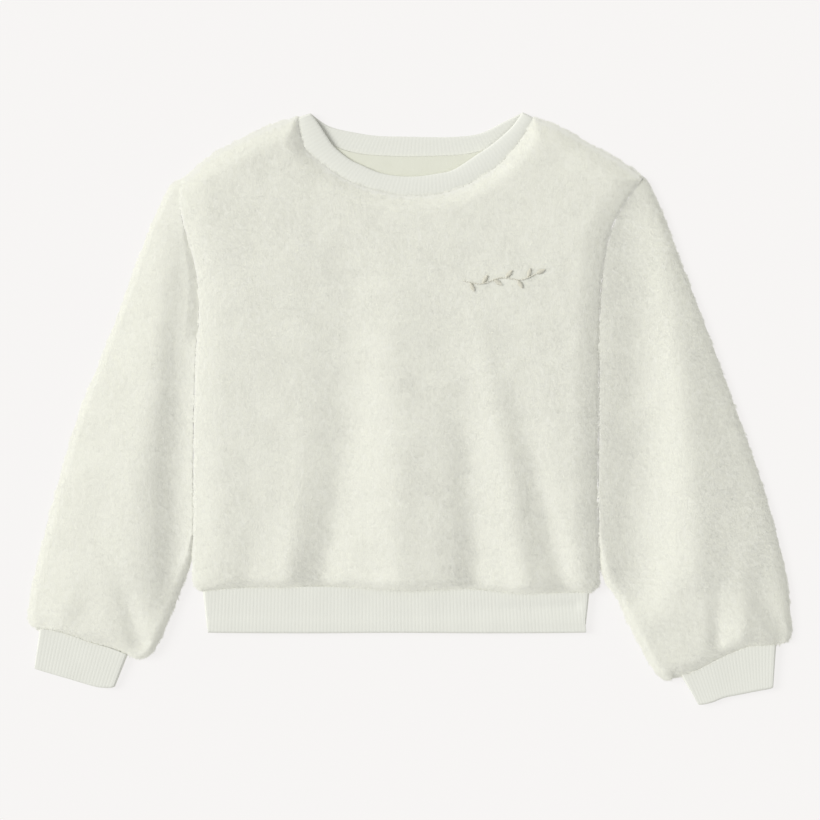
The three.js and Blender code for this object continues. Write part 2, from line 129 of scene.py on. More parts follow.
SLEEVE_LEFT_INNER: Rows = (
    (-199, 298), (-201, 285), (-202, 262), (-203.4, 190), (-203.4, 130), (-204, 85), (-206, 69),
    (-215.3, 44), (-225, 20), (-237.2, -8), (-246, -21.5), (-260, -26),
)
CUFF_LEFT_SEAM: Rows = ((-359, 4), (-345, 3), (-326, -2), (-307, -9), (-285, -14), (-260, -26))
CUFF_LEFT_TOP: Rows = (
    (-357.5, 4), (-345, 3), (-326, -2), (-307, -9), (-285, -15.4), (-269, -21.6),
)
CUFF_LEFT_END: Rows = (
    (-362, -34), (-361, -36.4), (-345, -41.2), (-327, -46.5), (-312, -51), (-299, -54.4), (-288, -55.2),
    (-282, -54),
)
SLEEVE_RIGHT_OUTER: Rows = (
    (247, 457), (253, 449), (268, 416), (283, 375), (303, 323), (319, 280), (335, 236),
    (349.5, 196), (364.5, 153), (379.5, 101), (390.5, 53), (394.5, 13), (394.5, -3), (391, -9),
)
SLEEVE_RIGHT_INNER: Rows = (
    (203, 298), (202.6, 285), (202.4, 233), (201.6, 133), (203, 75), (208, 53), (221, 33),
    (231, 11), (240, -7), (250, -26), (259, -40), (268, -47), (281, -43),
)
CUFF_RIGHT_SEAM: Rows = (
    (281, -43), (298, -38), (312, -31), (333, -20), (353, -13), (376, -12), (391, -9),
)
CUFF_RIGHT_TOP: Rows = (
    (284, -42.3), (298, -38), (312, -31), (333, -20.5), (353, -13.4), (368, -12.3), (380, -11.6),
)
CUFF_RIGHT_END: Rows = (
    (301, -69), (303, -72), (315, -70), (328, -65), (343, -62), (358, -59), (374, -56), (377, -54),
)


@dataclass(frozen=True)
class Fold:
    """One soft fold: a ridge where its rise is positive and a trough where it is negative.

    The rise goes evenly from first at the start to last at the end.
    """

    start: tuple[float, float]
    middle: tuple[float, float]
    end: tuple[float, float]
    width: float
    first: float
    last: float

    def line(self) -> np.ndarray:
        """Points of the parabola through start, middle and end."""
        share = np.linspace(0, 1, 17)[:, None]
        start, middle, end = (np.array(point, float) for point in (self.start, self.middle, self.end))
        handle = 2 * middle - (start + end) / 2
        return (1 - share) ** 2 * start + 2 * share * (1 - share) * handle + share**2 * end


BODY_FOLDS = (
    Fold((-52, 373), (-51, 283), (-53, 193), 28, -0.8, -1.8),
    Fold((-49, 233), (-59, 133), (-80, 41), 17, -0.4, -3.1),
    Fold((-94, 198), (-101, 113), (-113, 43), 14, 0.3, 1.2),
    Fold((-134, 133), (-143, 88), (-151, 41), 12, 0, -0.8),
    Fold((-8, 333), (2, 183), (3, 41), 30, 0.8, 3.2),
    Fold((60, 273), (74, 153), (79, 41), 14, 0, -2),
    Fold((74, 343), (104, 203), (127, 48), 16, 0.3, 2),
    Fold((125, 233), (141, 153), (171, 41), 12, 0, -2),
    Fold((40, 300), (42, 170), (42, 41), 22, 0, 1.3),
    Fold((131, 333), (157, 223), (182, 83), 16, 0.3, 0.1),
)
SLEEVE_LEFT_FOLDS = (
    Fold((-231, 373), (-247, 213), (-261, 73), 26, 0.6, 1.6),
    Fold((-207, 380), (-216, 233), (-221, 33), 17, -1.6, -3.4),
    Fold((-276, 73), (-266, 21), (-255, -10), 9, 0, -2),
    Fold((-331, 83), (-327, 43), (-335, 18), 14, 0, 0.8),
)
SLEEVE_RIGHT_FOLDS = (
    Fold((229, 410), (245, 238), (235, 48), 24, -3, -5),
    Fold((269, 373), (294, 213), (297, 63), 22, 0.8, 1.8),
    Fold((318, 63), (321, 21), (320, -8), 8, 0, -1.8),
    Fold((341, 83), (346, 33), (346, 0), 10, 0, 1.2),
    Fold((353, 88), (370, 30), (384, -4), 10, 0, -1.8),
)
HEM_FOLDS = (
    Fold((34, 28), (95, 25), (178, 27), 6, 0, -1.2),
    Fold((-185, 10), (0, 9), (185, 11), 6, 0.6, 0.6),
)


class Curve:
    """A smooth curve through points of the plan, read by its share of length."""

    def __init__(self, rows: Rows) -> None:
        """Sets the curve up.

        Each span between two points is the Catmull-Rom cubic of its four neighbours, with the end
        points repeated.

        Args:
            rows: x and y of each point, in millimetres.
        """
        points = np.asarray(rows, float)
        points = np.vstack([points[:1], points, points[-1:]])
        share = np.linspace(0, 1, 24, endpoint=False)[None, :, None]
        a, b, c, d = (points[i : len(points) - 3 + i, None, :] for i in range(4))
        spans = b + 0.5 * share * (c - a)
        spans = spans + 0.5 * share**2 * (2 * a - 5 * b + 4 * c - d)
        spans = spans + 0.5 * share**3 * (3 * b - a - 3 * c + d)
        self.points = np.vstack([spans.reshape(-1, 2), points[-1:]])
        steps = np.linalg.norm(np.diff(self.points, axis=0), axis=1)
        self.length = float(steps.sum())
        self.shares = np.concatenate([[0], np.cumsum(steps)]) / self.length

    def at(self, shares: np.ndarray) -> np.ndarray:
        """Points at shares of the length.

        Args:
            shares: numbers from 0 to 1.

        Returns:
            One row of x and y for each share.
        """
        columns = [np.interp(shares, self.shares, self.points[:, axis]) for axis in (0, 1)]
        return np.stack(columns, axis=-1)


class Chain:
    """Curves joined end to end, each holding its own stretch of the shares."""

    def __init__(self, curves: Sequence[Curve], cuts: Sequence[float]) -> None:
        """Sets the chain up.

        Args:
            curves: the curves in order.
            cuts: the shares at which one curve gives way to the next.
        """
        self.curves = curves
        self.cuts = [0.0, *cuts, 1.0]

    def at(self, shares: np.ndarray) -> np.ndarray:
        """Points at shares of the chain, each curve read by its share of its own stretch."""
        shares = np.asarray(shares, float)
        found = np.zeros((len(shares), 2))
        for i, curve in enumerate(self.curves):
            low, high = self.cuts[i], self.cuts[i + 1]
            held = (shares >= low) & (shares <= high)
            found[held] = curve.at((shares[held] - low) / (high - low))
        return found


def stretched_net(
    foot: np.ndarray, top: np.ndarray, left: np.ndarray, right: np.ndarray, across: np.ndarray, up: np.ndarray
) -> np.ndarray:
    """A net stretched between four edges.

    Point (u, v) is (1 - v) foot(u) + v top(u) + (1 - u) left(v) + u right(v), less the four corners
    weighted by their own shares.

    Args:
        foot: points of the edge at v = 0, one for each u.
        top: points of the edge at v = 1, one for each u.
        left: points of the edge at u = 0, one for each v.
        right: points of the edge at u = 1, one for each v.
        across: the shares u.
        up: the shares v.

    Returns:
        An array of v rows by u columns by x and y.
    """
    u, v = across[None, :, None], up[:, None, None]
    net = (1 - v) * foot[None] + v * top[None] + (1 - u) * left[:, None] + u * right[:, None]
    low = (1 - u) * foot[0] + u * foot[-1]
    high = (1 - u) * top[0] + u * top[-1]
    return net - (1 - v) * low - v * high


def edged_shares(length: float, close: Sequence[float], count: int) -> np.ndarray:
    """Shares from 0 to 1 with close steps at both ends and even ones between.

    Args:
        length: what the shares are shares of, in millimetres.
        close: distances from each end, from 0 upwards, in millimetres.
        count: the number of even steps.

    Returns:
        The shares in order.
    """
    near = np.asarray(close, float) / length
    middle = np.linspace(near[-1], 1 - near[-1], count + 1)
    return np.concatenate([near[:-1], middle, 1 - near[:-1][::-1]])


def distance_to_line(points: np.ndarray, line: np.ndarray) -> np.ndarray:
    """Least distance from each point to a polyline.

    On every stretch the point's foot is its projection held between the stretch's ends.
    """
    flat = points.reshape(-1, 2)
    least = np.full(len(flat), np.inf)
    for start, end in zip(line[:-1], line[1:]):
        step = end - start
        share = np.clip((flat - start) @ step / max(step @ step, 1e-9), 0, 1)
        away = flat - start - share[:, None] * step
        least = np.minimum(least, np.einsum("ij,ij->i", away, away))
    return np.sqrt(least).reshape(points.shape[:-1])


def fold_rise(points: np.ndarray, folds: Sequence[Fold]) -> np.ndarray:
    """Sum of the folds' heights.

    Each is its rise at the nearest point of its line times exp(-(distance / width) squared).
    """
    total = np.zeros(points.shape[:-1])
    for fold in folds:
        line = fold.line()
        away = np.stack([distance_to_line(points, line[i : i + 2]) for i in range(len(line) - 1)])
        nearest = away.argmin(axis=0) / (len(line) - 2)
        rise = fold.first + (fold.last - fold.first) * nearest
        total += rise * np.exp(-((away.min(axis=0) / fold.width) ** 2))
    return total


def close_to(points: np.ndarray, spots: np.ndarray, reach: float) -> np.ndarray:
    """Whether each point lies within reach of one of the spots."""
    low, high = spots.min(axis=0) - reach, spots.max(axis=0) + reach
    inside = np.flatnonzero(np.all((points > low) & (points < high), axis=1))
    away = np.linalg.norm(points[inside, None] - spots[None], axis=-1).min(axis=1)
    near = np.zeros(len(points), bool)
    near[inside[away < reach]] = True
    return near


def round_off(distance: np.ndarray, reach: float) -> np.ndarray:
    """A quarter round: 0 at the rim, rising to 1 at reach from it."""
    share = 1 - np.minimum(distance / reach, 1)
    return np.sqrt(np.clip(1 - share * share, 0, 1))


def soft_noise(points: np.ndarray, size: float, seed: int) -> np.ndarray:
    """Smooth lumps between -1 and 1: random values on a lattice, joined by smoothstep weights.

    Args:
        points: x and y in the last axis, in millimetres.
        size: lattice spacing in millimetres.
        seed: which lumps these are.

    Returns:
        One value for each point.
    """
    side = 64
    values = np.random.default_rng(seed).uniform(-1, 1, (side, side))
    turn = 0.7 + seed
    turned = np.array([[math.cos(turn), -math.sin(turn)], [math.sin(turn), math.cos(turn)]])
    place = points @ turned / size
    cell = np.floor(place).astype(int)
    part = place - cell
    part = part * part * (3 - 2 * part)
    x, y = cell[..., 0], cell[..., 1]
    u, v = part[..., 0], part[..., 1]
    low = values[x % side, y % side] * (1 - u) + values[(x + 1) % side, y % side] * u
    high = values[x % side, (y + 1) % side] * (1 - u) + values[(x + 1) % side, (y + 1) % side] * u
    return low * (1 - v) + high * v


def ease(values: np.ndarray, low: float, high: float) -> np.ndarray:
    """A smooth step from 0 at low to 1 at high: 3 s squared less 2 s cubed of the share s between."""
    share = np.clip((values - low) / (high - low), 0, 1)
    return share * share * (3 - 2 * share)


@dataclass(frozen=True)
class Edge:
    """One edge of a piece and how its cloth comes down to it.

    The cloth sinks by drop over the reach, and by the lip in a quarter round of the turn's radius.
    """

    line: np.ndarray
    reach: float
    drop: float
    lip: float
    turn: float


def upper_height(points: np.ndarray, edges: Sequence[Edge], folds: Sequence[Fold], top: float) -> np.ndarray:
    """Height of the upper layer's outer face, in millimetres.

    The level part is the top plus the folds, where a trough eases out against the layer
    below it. Towards an edge at distance d it sinks by drop (1 - d / reach) squared and by the lip's
    quarter round, and the edge that sinks it most counts.

    Args:
        points: where it is read.
        edges: the piece's edges.
        folds: the cloth's folds.
        top: height of a smooth stretch.

    Returns:
        One height for each point.
    """
    rise = fold_rise(points, folds)
    lowest = LEAST_TOP - top
    held = np.where(rise < 0, lowest * (1 - np.exp(np.minimum(rise, 0) / -lowest)), rise)
    sunk = np.zeros(points.shape[:-1])
    for edge in edges:
        away = distance_to_line(points, edge.line)
        slope = edge.drop * (1 - np.minimum(away / edge.reach, 1)) ** 2
        sunk = np.maximum(sunk, slope + edge.lip * (1 - round_off(away, edge.turn)))
    return top + held - sunk


def under_height(points: np.ndarray, outline: np.ndarray) -> np.ndarray:
    """Height of the underside, which is flat and lifts in a quarter round at its rim."""
    return UNDER_RISE * (1 - round_off(distance_to_line(points, outline), UNDER_ROUND))


def raised(plan: np.ndarray, height: Union[np.ndarray, float]) -> np.ndarray:
    """Plan points with their heights as x, y and z."""
    return np.concatenate([plan, np.broadcast_to(height, plan.shape[:-1])[..., None]], axis=-1)


def frame_shift() -> np.ndarray:
    """What takes a plan point to the frame, from the least corner of the front panel's box."""
    low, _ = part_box("front_panel")
    edges = np.vstack([Curve(BODY_LEFT).points, Curve(HEM_SEAM).points])
    return np.array([low.x / MM - edges[:, 0].min(), low.y / MM - edges[:, 1].min(), 0.0])


SHIFT = frame_shift()


def grid_faces(rows: int, columns: int, first: int, closed: bool, flipped: bool) -> np.ndarray:
    """Corner numbers of the quads of a grid whose vertices are numbered row by row.

    Args:
        rows: vertices up the grid.
        columns: vertices across it.
        first: number of its first vertex.
        closed: whether the last column joins the first.
        flipped: whether the faces are turned over.

    Returns:
        One row of four corners for each quad.
    """
    span = columns if closed else columns - 1
    i, j = np.meshgrid(np.arange(rows - 1), np.arange(span), indexing="ij")
    a = first + i * columns + j
    b = first + i * columns + (j + 1) % columns
    quads = np.stack([a, b, b + columns, a + columns], axis=-1).reshape(-1, 4)
    return quads[:, ::-1] if flipped else quads


def ring_faces(low: np.ndarray, high: np.ndarray) -> np.ndarray:
    """Quads between two closed rings of vertex numbers of one length."""
    return np.stack([low, np.roll(low, -1), np.roll(high, -1), high], axis=-1)


def make_mesh(
    name: str,
    places: np.ndarray,
    faces: Sequence[np.ndarray],
    materials: Sequence[bpy.types.Material],
    slots: Sequence[int] = (),
) -> bpy.types.Object:
    """A mesh object from arrays of millimetres in the plan.

    Args:
        name: the piece's name.
        places: x, y and z of each vertex.
        faces: arrays of corner numbers, one for each group of faces.
        materials: the piece's materials.
        slots: material number of each group, 0 where left out.

    Returns:
        The object, at the origin.
    """
    mesh = bpy.data.meshes.new(name)
    points = (places.reshape(-1, 3) + SHIFT) * MM
    sizes = np.concatenate([np.full(len(group), group.shape[1]) for group in faces])
    corners = np.concatenate([group.ravel() for group in faces])
    mesh.vertices.add(len(points))
    mesh.vertices.foreach_set("co", points.ravel())
    mesh.loops.add(len(corners))
    mesh.loops.foreach_set("vertex_index", corners.astype(np.int32))
    mesh.polygons.add(len(sizes))
    mesh.polygons.foreach_set("loop_start", np.concatenate([[0], np.cumsum(sizes)[:-1]]).astype(np.int32))
    for material in materials:
        mesh.materials.append(material)
    if len(slots):
        numbers = np.concatenate([np.full(len(group), slot) for group, slot in zip(faces, slots)])
        mesh.polygons.foreach_set("material_index", numbers.astype(np.int32))
    mesh.update(calc_edges=True)
    mesh.polygons.foreach_set("use_smooth", np.ones(len(sizes), bool))
    made = bpy.data.objects.new(name, mesh)
    bpy.context.scene.collection.objects.link(made)
    return made


def placed(made: bpy.types.Object, nodes: Sequence[str] = ()) -> bpy.types.Object:
    """Sets a piece on the root body, hides the model nodes that it stands for, and reports it."""
    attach(made, ROOT)
    if nodes:
        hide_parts(*nodes)
    log.info("%s: %d faces", made.name, len(made.data.polygons))
    return made


class Value:
    """A number in a shader that is worked with as in a sum."""

    def __init__(self, tree: bpy.types.NodeTree, socket: bpy.types.NodeSocket) -> None:
        """Wraps a socket that gives a number."""
        self.tree = tree
        self.socket = socket

    def _with(self, operation: str, first: "Operand", second: "Operand") -> "Value":
        """A Math node of that operation on two numbers."""
        made = self.tree.nodes.new("ShaderNodeMath")
        made.operation = operation
        for socket, given in zip(made.inputs, (first, second)):
            if isinstance(given, Value):
                self.tree.links.new(given.socket, socket)
            else:
                socket.default_value = given
        return Value(self.tree, made.outputs[0])

    def __add__(self, other: "Operand") -> "Value":
        """Their sum."""
        return self._with("ADD", self, other)

    def __sub__(self, other: "Operand") -> "Value":
        """This less the other."""
        return self._with("SUBTRACT", self, other)

    def __mul__(self, other: "Operand") -> "Value":
        """Their product."""
        return self._with("MULTIPLY", self, other)


Operand = Union[Value, Number]


class Shading:
    """A material under construction: one Principled shader and what feeds it."""

    def __init__(self, name: str) -> None:
        """Starts a material of that name.

        Args:
            name: the finish's name.
        """
        self.material = bpy.data.materials.new(name)
        self.material.use_nodes = True
        self.tree = self.material.node_tree
        self.shader = self.tree.nodes["Principled BSDF"]

    def node(self, kind: str, settings: dict[str, object], sockets: dict[str, object]) -> bpy.types.Node:
        """Adds one node.

        Args:
            kind: the node's type.
            settings: its settings, set first.
            sockets: values or links of its inputs, by name.

        Returns:
            The node.
        """
        made = self.tree.nodes.new(kind)
        for name, value in settings.items():
            setattr(made, name, value)
        for name, value in sockets.items():
            self.feed(made.inputs[name], value)
        return made

    def feed(self, socket: bpy.types.NodeSocket, value: object) -> None:
        """Links or sets one input."""
        if isinstance(value, Value):
            self.tree.links.new(value.socket, socket)
        elif isinstance(value, bpy.types.NodeSocket):
            self.tree.links.new(value, socket)
        else:
            socket.default_value = value

    def place(self) -> bpy.types.NodeSocket:
        """Coordinates of the surface in the frame, in metres."""
        return self.node("ShaderNodeTexCoord", {}, {}).outputs["Object"]

    def noise(self, size: float, detail: float = 2.0, stretch: Sequence[float] = (1, 1, 1)) -> Value:
        """A noise with lumps of that size in millimetres, from 0 to 1."""
        turned = self.node("ShaderNodeMapping", {}, {"Vector": self.place(), "Scale": stretch})
        sockets = {"Vector": turned.outputs[0], "Scale": 1 / (size * MM), "Detail": detail}
        return Value(self.tree, self.node("ShaderNodeTexNoise", {}, sockets).outputs["Fac"])

    def attribute(self, name: str) -> Value:
        """A number that the mesh holds at each point."""
        return Value(self.tree, self.node("ShaderNodeAttribute", {"attribute_name": name}, {}).outputs["Fac"])

    def mix(self, share: Operand, first: Sequence[float], second: Sequence[float]) -> bpy.types.NodeSocket:
        """A colour between two, by a share."""
        settings = {"data_type": "RGBA", "clamp_factor": True}
        made = self.node("ShaderNodeMix", settings, {})
        self.feed(made.inputs[0], share)
        for socket, colour in ((made.inputs[6], first), (made.inputs[7], second)):
            self.feed(socket, colour if isinstance(colour, bpy.types.NodeSocket) else (*colour, 1))
        return made.outputs[2]

    def bump(self, height: Value, depth: float, strength: float) -> bpy.types.NodeSocket:
        """A normal from a height between 0 and 1 that stands for that depth in mm."""
        sockets = {"Height": height, "Distance": depth * MM, "Strength": strength}
        return self.node("ShaderNodeBump", {}, sockets).outputs["Normal"]

    def finished(self, sockets: dict[str, object]) -> bpy.types.Material:
        """The material, with the shader's inputs fed or set by name."""
        for name, value in sockets.items():
            self.feed(self.shader.inputs[name], value)
        return self.material


Colour = tuple[float, float, float]


@dataclass(frozen=True)
class FleeceFinish:
    """Cream brushed pile: pale tips over darker roots, the darker root colour being painted shade deep in the
    pile; faintly mottled, with a soft sheen.
    """

    tip: Colour = (0.85, 0.85, 0.785)
    # The darker root colour is painted shade deep in the pile, where the hairs would shade each other
    root: Colour = (0.82, 0.82, 0.745)
    shade: Colour = (0.835, 0.835, 0.765)
    sheen: float = 0.1

    def material(self) -> bpy.types.Material:
        """The finish as a material, which reads the mesh's tip attribute from 0 at a hair's root and paints
        shade towards the root.
        """
        shading = Shading("sherpa_fleece")
        mottle = shading.noise(7, 3) * 0.55 + shading.noise(45, 2) * 0.45
        pale = shading.mix((mottle - 0.3) * 1.6, self.shade, self.tip)
        # Base colour runs by the tip attribute from the root colour, which is painted shade, to the mottled
        # tip colour
        return shading.finished({
            "Base Color": shading.mix(shading.attribute("tip"), self.root, pale),
            "Normal": shading.bump(shading.noise(1.6, 3), 0.5, 0.3),
            "Roughness": 0.95,
            "Specular IOR Level": 0.15,
            "Sheen Weight": self.sheen,
            "Sheen Roughness": 0.5,
        })


@dataclass(frozen=True)
class BackingFinish:
    """The smooth knitted inside of the fleece."""

    light: Colour = (0.80, 0.81, 0.70)
    dark: Colour = (0.75, 0.755, 0.64)

    def material(self) -> bpy.types.Material:
        """The finish as a material, with fine knit rows in its bump."""
        shading = Shading("fleece_backing")
        return shading.finished({
            "Base Color": shading.mix(shading.noise(12, 3), self.dark, self.light),
            "Normal": shading.bump(shading.noise(1.1, 2, (1, 0.45, 1)), 0.3, 0.5),
            "Roughness": 0.95,
            "Specular IOR Level": 0.15,
        })


@dataclass(frozen=True)
class RibFinish:
    """Cream rib knit: pale on the ribs, with painted shade in the grooves between them."""

    light: Colour = (0.81, 0.815, 0.745)
    groove_shade: Colour = (0.797, 0.802, 0.73)

    def material(self) -> bpy.types.Material:
        """The finish as a material, which reads the mesh's rib attribute from 0 in the grooves, where it
        paints shade.
        """
        shading = Shading("rib_knit")
        # Painted shade in the rib grooves, by the rib attribute that is 0 there
        share = shading.attribute("rib") * 0.8 + shading.noise(9, 3) * 0.3
        return shading.finished({
            "Base Color": shading.mix(share, self.groove_shade, self.light),
            "Normal": shading.bump(shading.noise(0.9, 3), 0.3, 0.6),
            "Roughness": 0.92,
            "Specular IOR Level": 0.2,
            "Sheen Weight": 0.1,
        })


@dataclass(frozen=True)
class ThreadFinish:
    """Matt beige embroidery thread."""

    light: Colour = (0.80, 0.785, 0.68)
    dark: Colour = (0.72, 0.70, 0.59)

    def material(self) -> bpy.types.Material:
        """The finish as a material."""
        shading = Shading("thread")
        return shading.finished({
            "Base Color": shading.mix(shading.noise(1.5), self.dark, self.light),
            "Normal": shading.bump(shading.noise(0.35), 0.1, 0.5),
            "Roughness": 0.6,
        })


@dataclass(frozen=True)
class FloorFinish:
    """The plain pale surface below."""

    colour: Colour = (0.14, 0.14, 0.14)
    glow: Colour = (0.795, 0.78, 0.77)

    def material(self) -> bpy.types.Material:
        """The finish as a material."""
        return Shading("floor").finished({
            "Base Color": (*self.colour, 1),
            "Emission Color": (*self.glow, 1),
            "Emission Strength": 1.0,
            "Roughness": 1.0,
            "Specular IOR Level": 0.0,
        })


@dataclass(frozen=True)
class Finishes:
    """The materials that the pieces share."""

    fleece: bpy.types.Material
    backing: bpy.types.Material
    rib: bpy.types.Material
    thread: bpy.types.Material


@dataclass
class Patch:
    """A grid of points with its outer side named by the order of rows and columns."""

    points: np.ndarray
    closed: bool = False

    def cells(self) -> tuple[np.ndarray, np.ndarray, np.ndarray, np.ndarray]:
        """The four corner arrays of the cells, in the order low left, low right, high right, high left."""
        grid = self.points
        if self.closed:
            grid = np.concatenate([grid, grid[:, :1]], axis=1)
        return grid[:-1, :-1], grid[:-1, 1:], grid[1:, 1:], grid[1:, :-1]

    def scatter(self, count: int, rng: np.random.Generator) -> tuple[np.ndarray, np.ndarray, np.ndarray]:
        """Even places over the patch.

        A cell is drawn by its area, and the place in it by two shares joined bilinearly. The normal is
        the cell's, blended over its corners so that it turns smoothly.

        Args:
            count: how many places.
            rng: the seeded source of the draws.

        Returns:
            The places, the outward normals and the directions up the rows.
        """
        a, b, c, d = (corner.reshape(-1, 3) for corner in self.cells())
        area = np.linalg.norm(np.cross(b - a, d - a), axis=1) + np.linalg.norm(np.cross(d - c, b - c), axis=1)
        picked = np.searchsorted(np.cumsum(area) / area.sum(), rng.random(count))
        picked = np.minimum(picked, len(area) - 1)
        u, v = rng.random((2, count, 1))
        weights = ((1 - u) * (1 - v), u * (1 - v), u * v, (1 - u) * v)
        places = sum(weight * corner[picked] for weight, corner in zip(weights, (a, b, c, d)))
        bends = Patch(self.normals(), self.closed).cells()
        normals = sum(weight * bend.reshape(-1, 3)[picked] for weight, bend in zip(weights, bends))
        return places, unit(normals), unit((d - a)[picked])

    def normals(self) -> np.ndarray:
        """Outward normal at each grid point, the cross product of its central differences."""
        if self.closed:
            across = np.roll(self.points, -1, axis=1) - np.roll(self.points, 1, axis=1)
        else:
            across = np.gradient(self.points, axis=1)
        return unit(np.cross(across, np.gradient(self.points, axis=0)))


def unit(vectors: np.ndarray) -> np.ndarray:
    """Vectors of length 1."""
    return vectors / np.maximum(np.linalg.norm(vectors, axis=-1, keepdims=True), 1e-9)


def nap_normals(normals: np.ndarray) -> np.ndarray:
    """Normals that a deep pile is shaded with.

    Pile opens where the cloth bends and fills up where it turns away, so a slope t shows as
    0.34 tanh(2 t / 0.34). From 55 degrees on the cloth's own normal comes back in.

    Args:
        normals: the cloth's outward normals.

    Returns:
        The normals of the pile.
    """
    level = np.maximum(np.abs(normals[..., 2:]), 1e-3)
    slope = np.linalg.norm(normals[..., :2], axis=-1, keepdims=True) / level
    shown = 0.34 * np.tanh(slope / 0.17) / np.maximum(slope, 1e-6)
    filled = unit(np.concatenate([normals[..., :2] / level * shown, np.sign(normals[..., 2:])], axis=-1))
    steep = ease(slope, 1.4, 4)
    return unit(filled * (1 - steep) + normals * steep)


def hair_mesh(
    name: str,
    low: np.ndarray,
    high: np.ndarray,
    tips: np.ndarray,
    bend: np.ndarray,
    material: bpy.types.Material,
) -> bpy.types.Object:
    """One triangle for each hair, its tone running from painted shade at the root to the pale tip. Hairs cast
    no shadow.

    Args:
        name: the piece's name.
        low: one corner at each hair's root.
        high: the other corner at its root.
        tips: its tip.
        bend: the normal that it is shaded with.
        material: the pile's finish.

    Returns:
        The piece.
    """
    count = len(tips)
    places = np.stack([low, high, tips], axis=1).reshape(-1, 3)
    made = make_mesh(name, places, [np.arange(3 * count).reshape(-1, 3)], [material])
    # Roots get the lower tone: painted shade between the hairs
    set_attribute(made, "tip", np.tile([SHADED_ROOT_TONE, SHADED_ROOT_TONE, 1.0], count))
    made.data.normals_split_custom_set_from_vertices(np.repeat(bend, 3, axis=0).tolist())
    made.visible_shadow = False
    return placed(made)


@dataclass(frozen=True)
class Pile:
    """A pile of short hairs, each one narrow triangle that leans down the rows of its patch."""

    name: str
    per_square: float = 1.8
    length: float = 3.8
    width: float = 0.85
    lean: float = 1.9
    clump: float = 5.5
    gather: float = 0.35
    steepest: float = 0.3
    pressed: float = -0.8
    pressed_share: float = 0.3
    on_edge: float = 0.45
    seed: int = 1

    def build(
        self, patch: Patch, material: bpy.types.Material, bare: Optional[np.ndarray] = None
    ) -> bpy.types.Object:
        """Plants the hairs on a patch.

        A hair runs along normal - lean times the way up the rows + a random part, and its tip is
        drawn towards the middle of its clump. Its face looks to the side that its shading normal
        does, which is the cloth's, turned a little towards the hair. Steep cloth bears none, cloth
        pressed flat below bears few, and hairs that would stand on edge are left out.

        Args:
            patch: the surface, outer side out.
            material: the pile's finish.
            bare: plan points near which no hair is planted, such as stitches.

        Returns:
            The piece.
        """
        rng = np.random.default_rng(self.seed)
        a, b, c, d = (corner.reshape(-1, 3) for corner in patch.cells())
        area = np.linalg.norm(np.cross(b - a, d - a), axis=1) + np.linalg.norm(np.cross(d - c, b - c), axis=1)
        count = int((0.5 * area).sum() * self.per_square)
        roots, normals, nap = patch.scatter(count, rng)
        facing = normals[:, 2]
        keep = (facing > self.steepest) | ((facing < self.pressed) & (rng.random(count) < self.pressed_share))
        if bare is not None:
            keep &= ~close_to(roots[:, :2], bare, 1.0)
        roots, normals, nap = roots[keep], normals[keep], nap[keep]
        count = len(roots)
        plan = roots[:, :2]
        swirl = 0.6 * soft_noise(plan, 26, self.seed + 50) + 0.35 * soft_noise(plan, 9, self.seed + 51)
        side = unit(np.cross(normals, nap))
        leaned = self.lean * (1 + 0.2 * soft_noise(plan, 17, self.seed + 52))
        heading = side * np.sin(swirl)[:, None] - nap * np.cos(swirl)[:, None]
        way = unit(normals + leaned[:, None] * heading + 0.25 * rng.standard_normal((count, 3)))
        tips = roots + way * self.length * rng.uniform(0.7, 1.15, count)[:, None]
        tips[:, :2] += self.gather * (self.middles(roots) - roots[:, :2])
        tips[:, 2] = np.maximum(tips[:, 2], LOWEST_TIP)
        bases = roots - 0.3 * normals
        bases[:, 2] = np.maximum(bases[:, 2], LOWEST_ROOT)
        half = 0.5 * self.width * unit(np.cross(tips - bases, normals)) * rng.uniform(0.7, 1.2, (count, 1))
        low, high = bases - half, bases + half
        low[:, 2], high[:, 2] = np.maximum(low[:, 2], LOWEST_CORNER), np.maximum(high[:, 2], LOWEST_CORNER)
        bend = unit(nap_normals(normals) + 0.06 * way + 0.05 * rng.standard_normal((count, 3)))
        level = unit(np.cross(high - low, tips - low))[:, 2:] * np.sign(bend[:, 2:])
        low, high = np.where(level < 0, high, low), np.where(level < 0, low, high)
        lying = np.abs(level[:, 0]) > self.on_edge
        return hair_mesh(self.name, low[lying], high[lying], tips[lying], bend[lying], material)

    def middles(self, roots: np.ndarray) -> np.ndarray:
        """Middle of each root's clump: the nearest of one seeded place in each cell of a lattice."""
        side = 64
        offsets = np.random.default_rng(self.seed + 99).uniform(0, 1, (side, side, 2))
        home = np.floor(roots[:, :2] / self.clump).astype(int)
        best, least = roots[:, :2].copy(), np.full(len(roots), np.inf)
        for step in [(i, j) for i in (-1, 0, 1) for j in (-1, 0, 1)]:
            cell = home + step
            middle = (cell + offsets[cell[:, 0] % side, cell[:, 1] % side]) * self.clump
            away = np.sum((middle - roots[:, :2]) ** 2, axis=1)
            best[away < least] = middle[away < least]
            least = np.minimum(least, away)
        return best


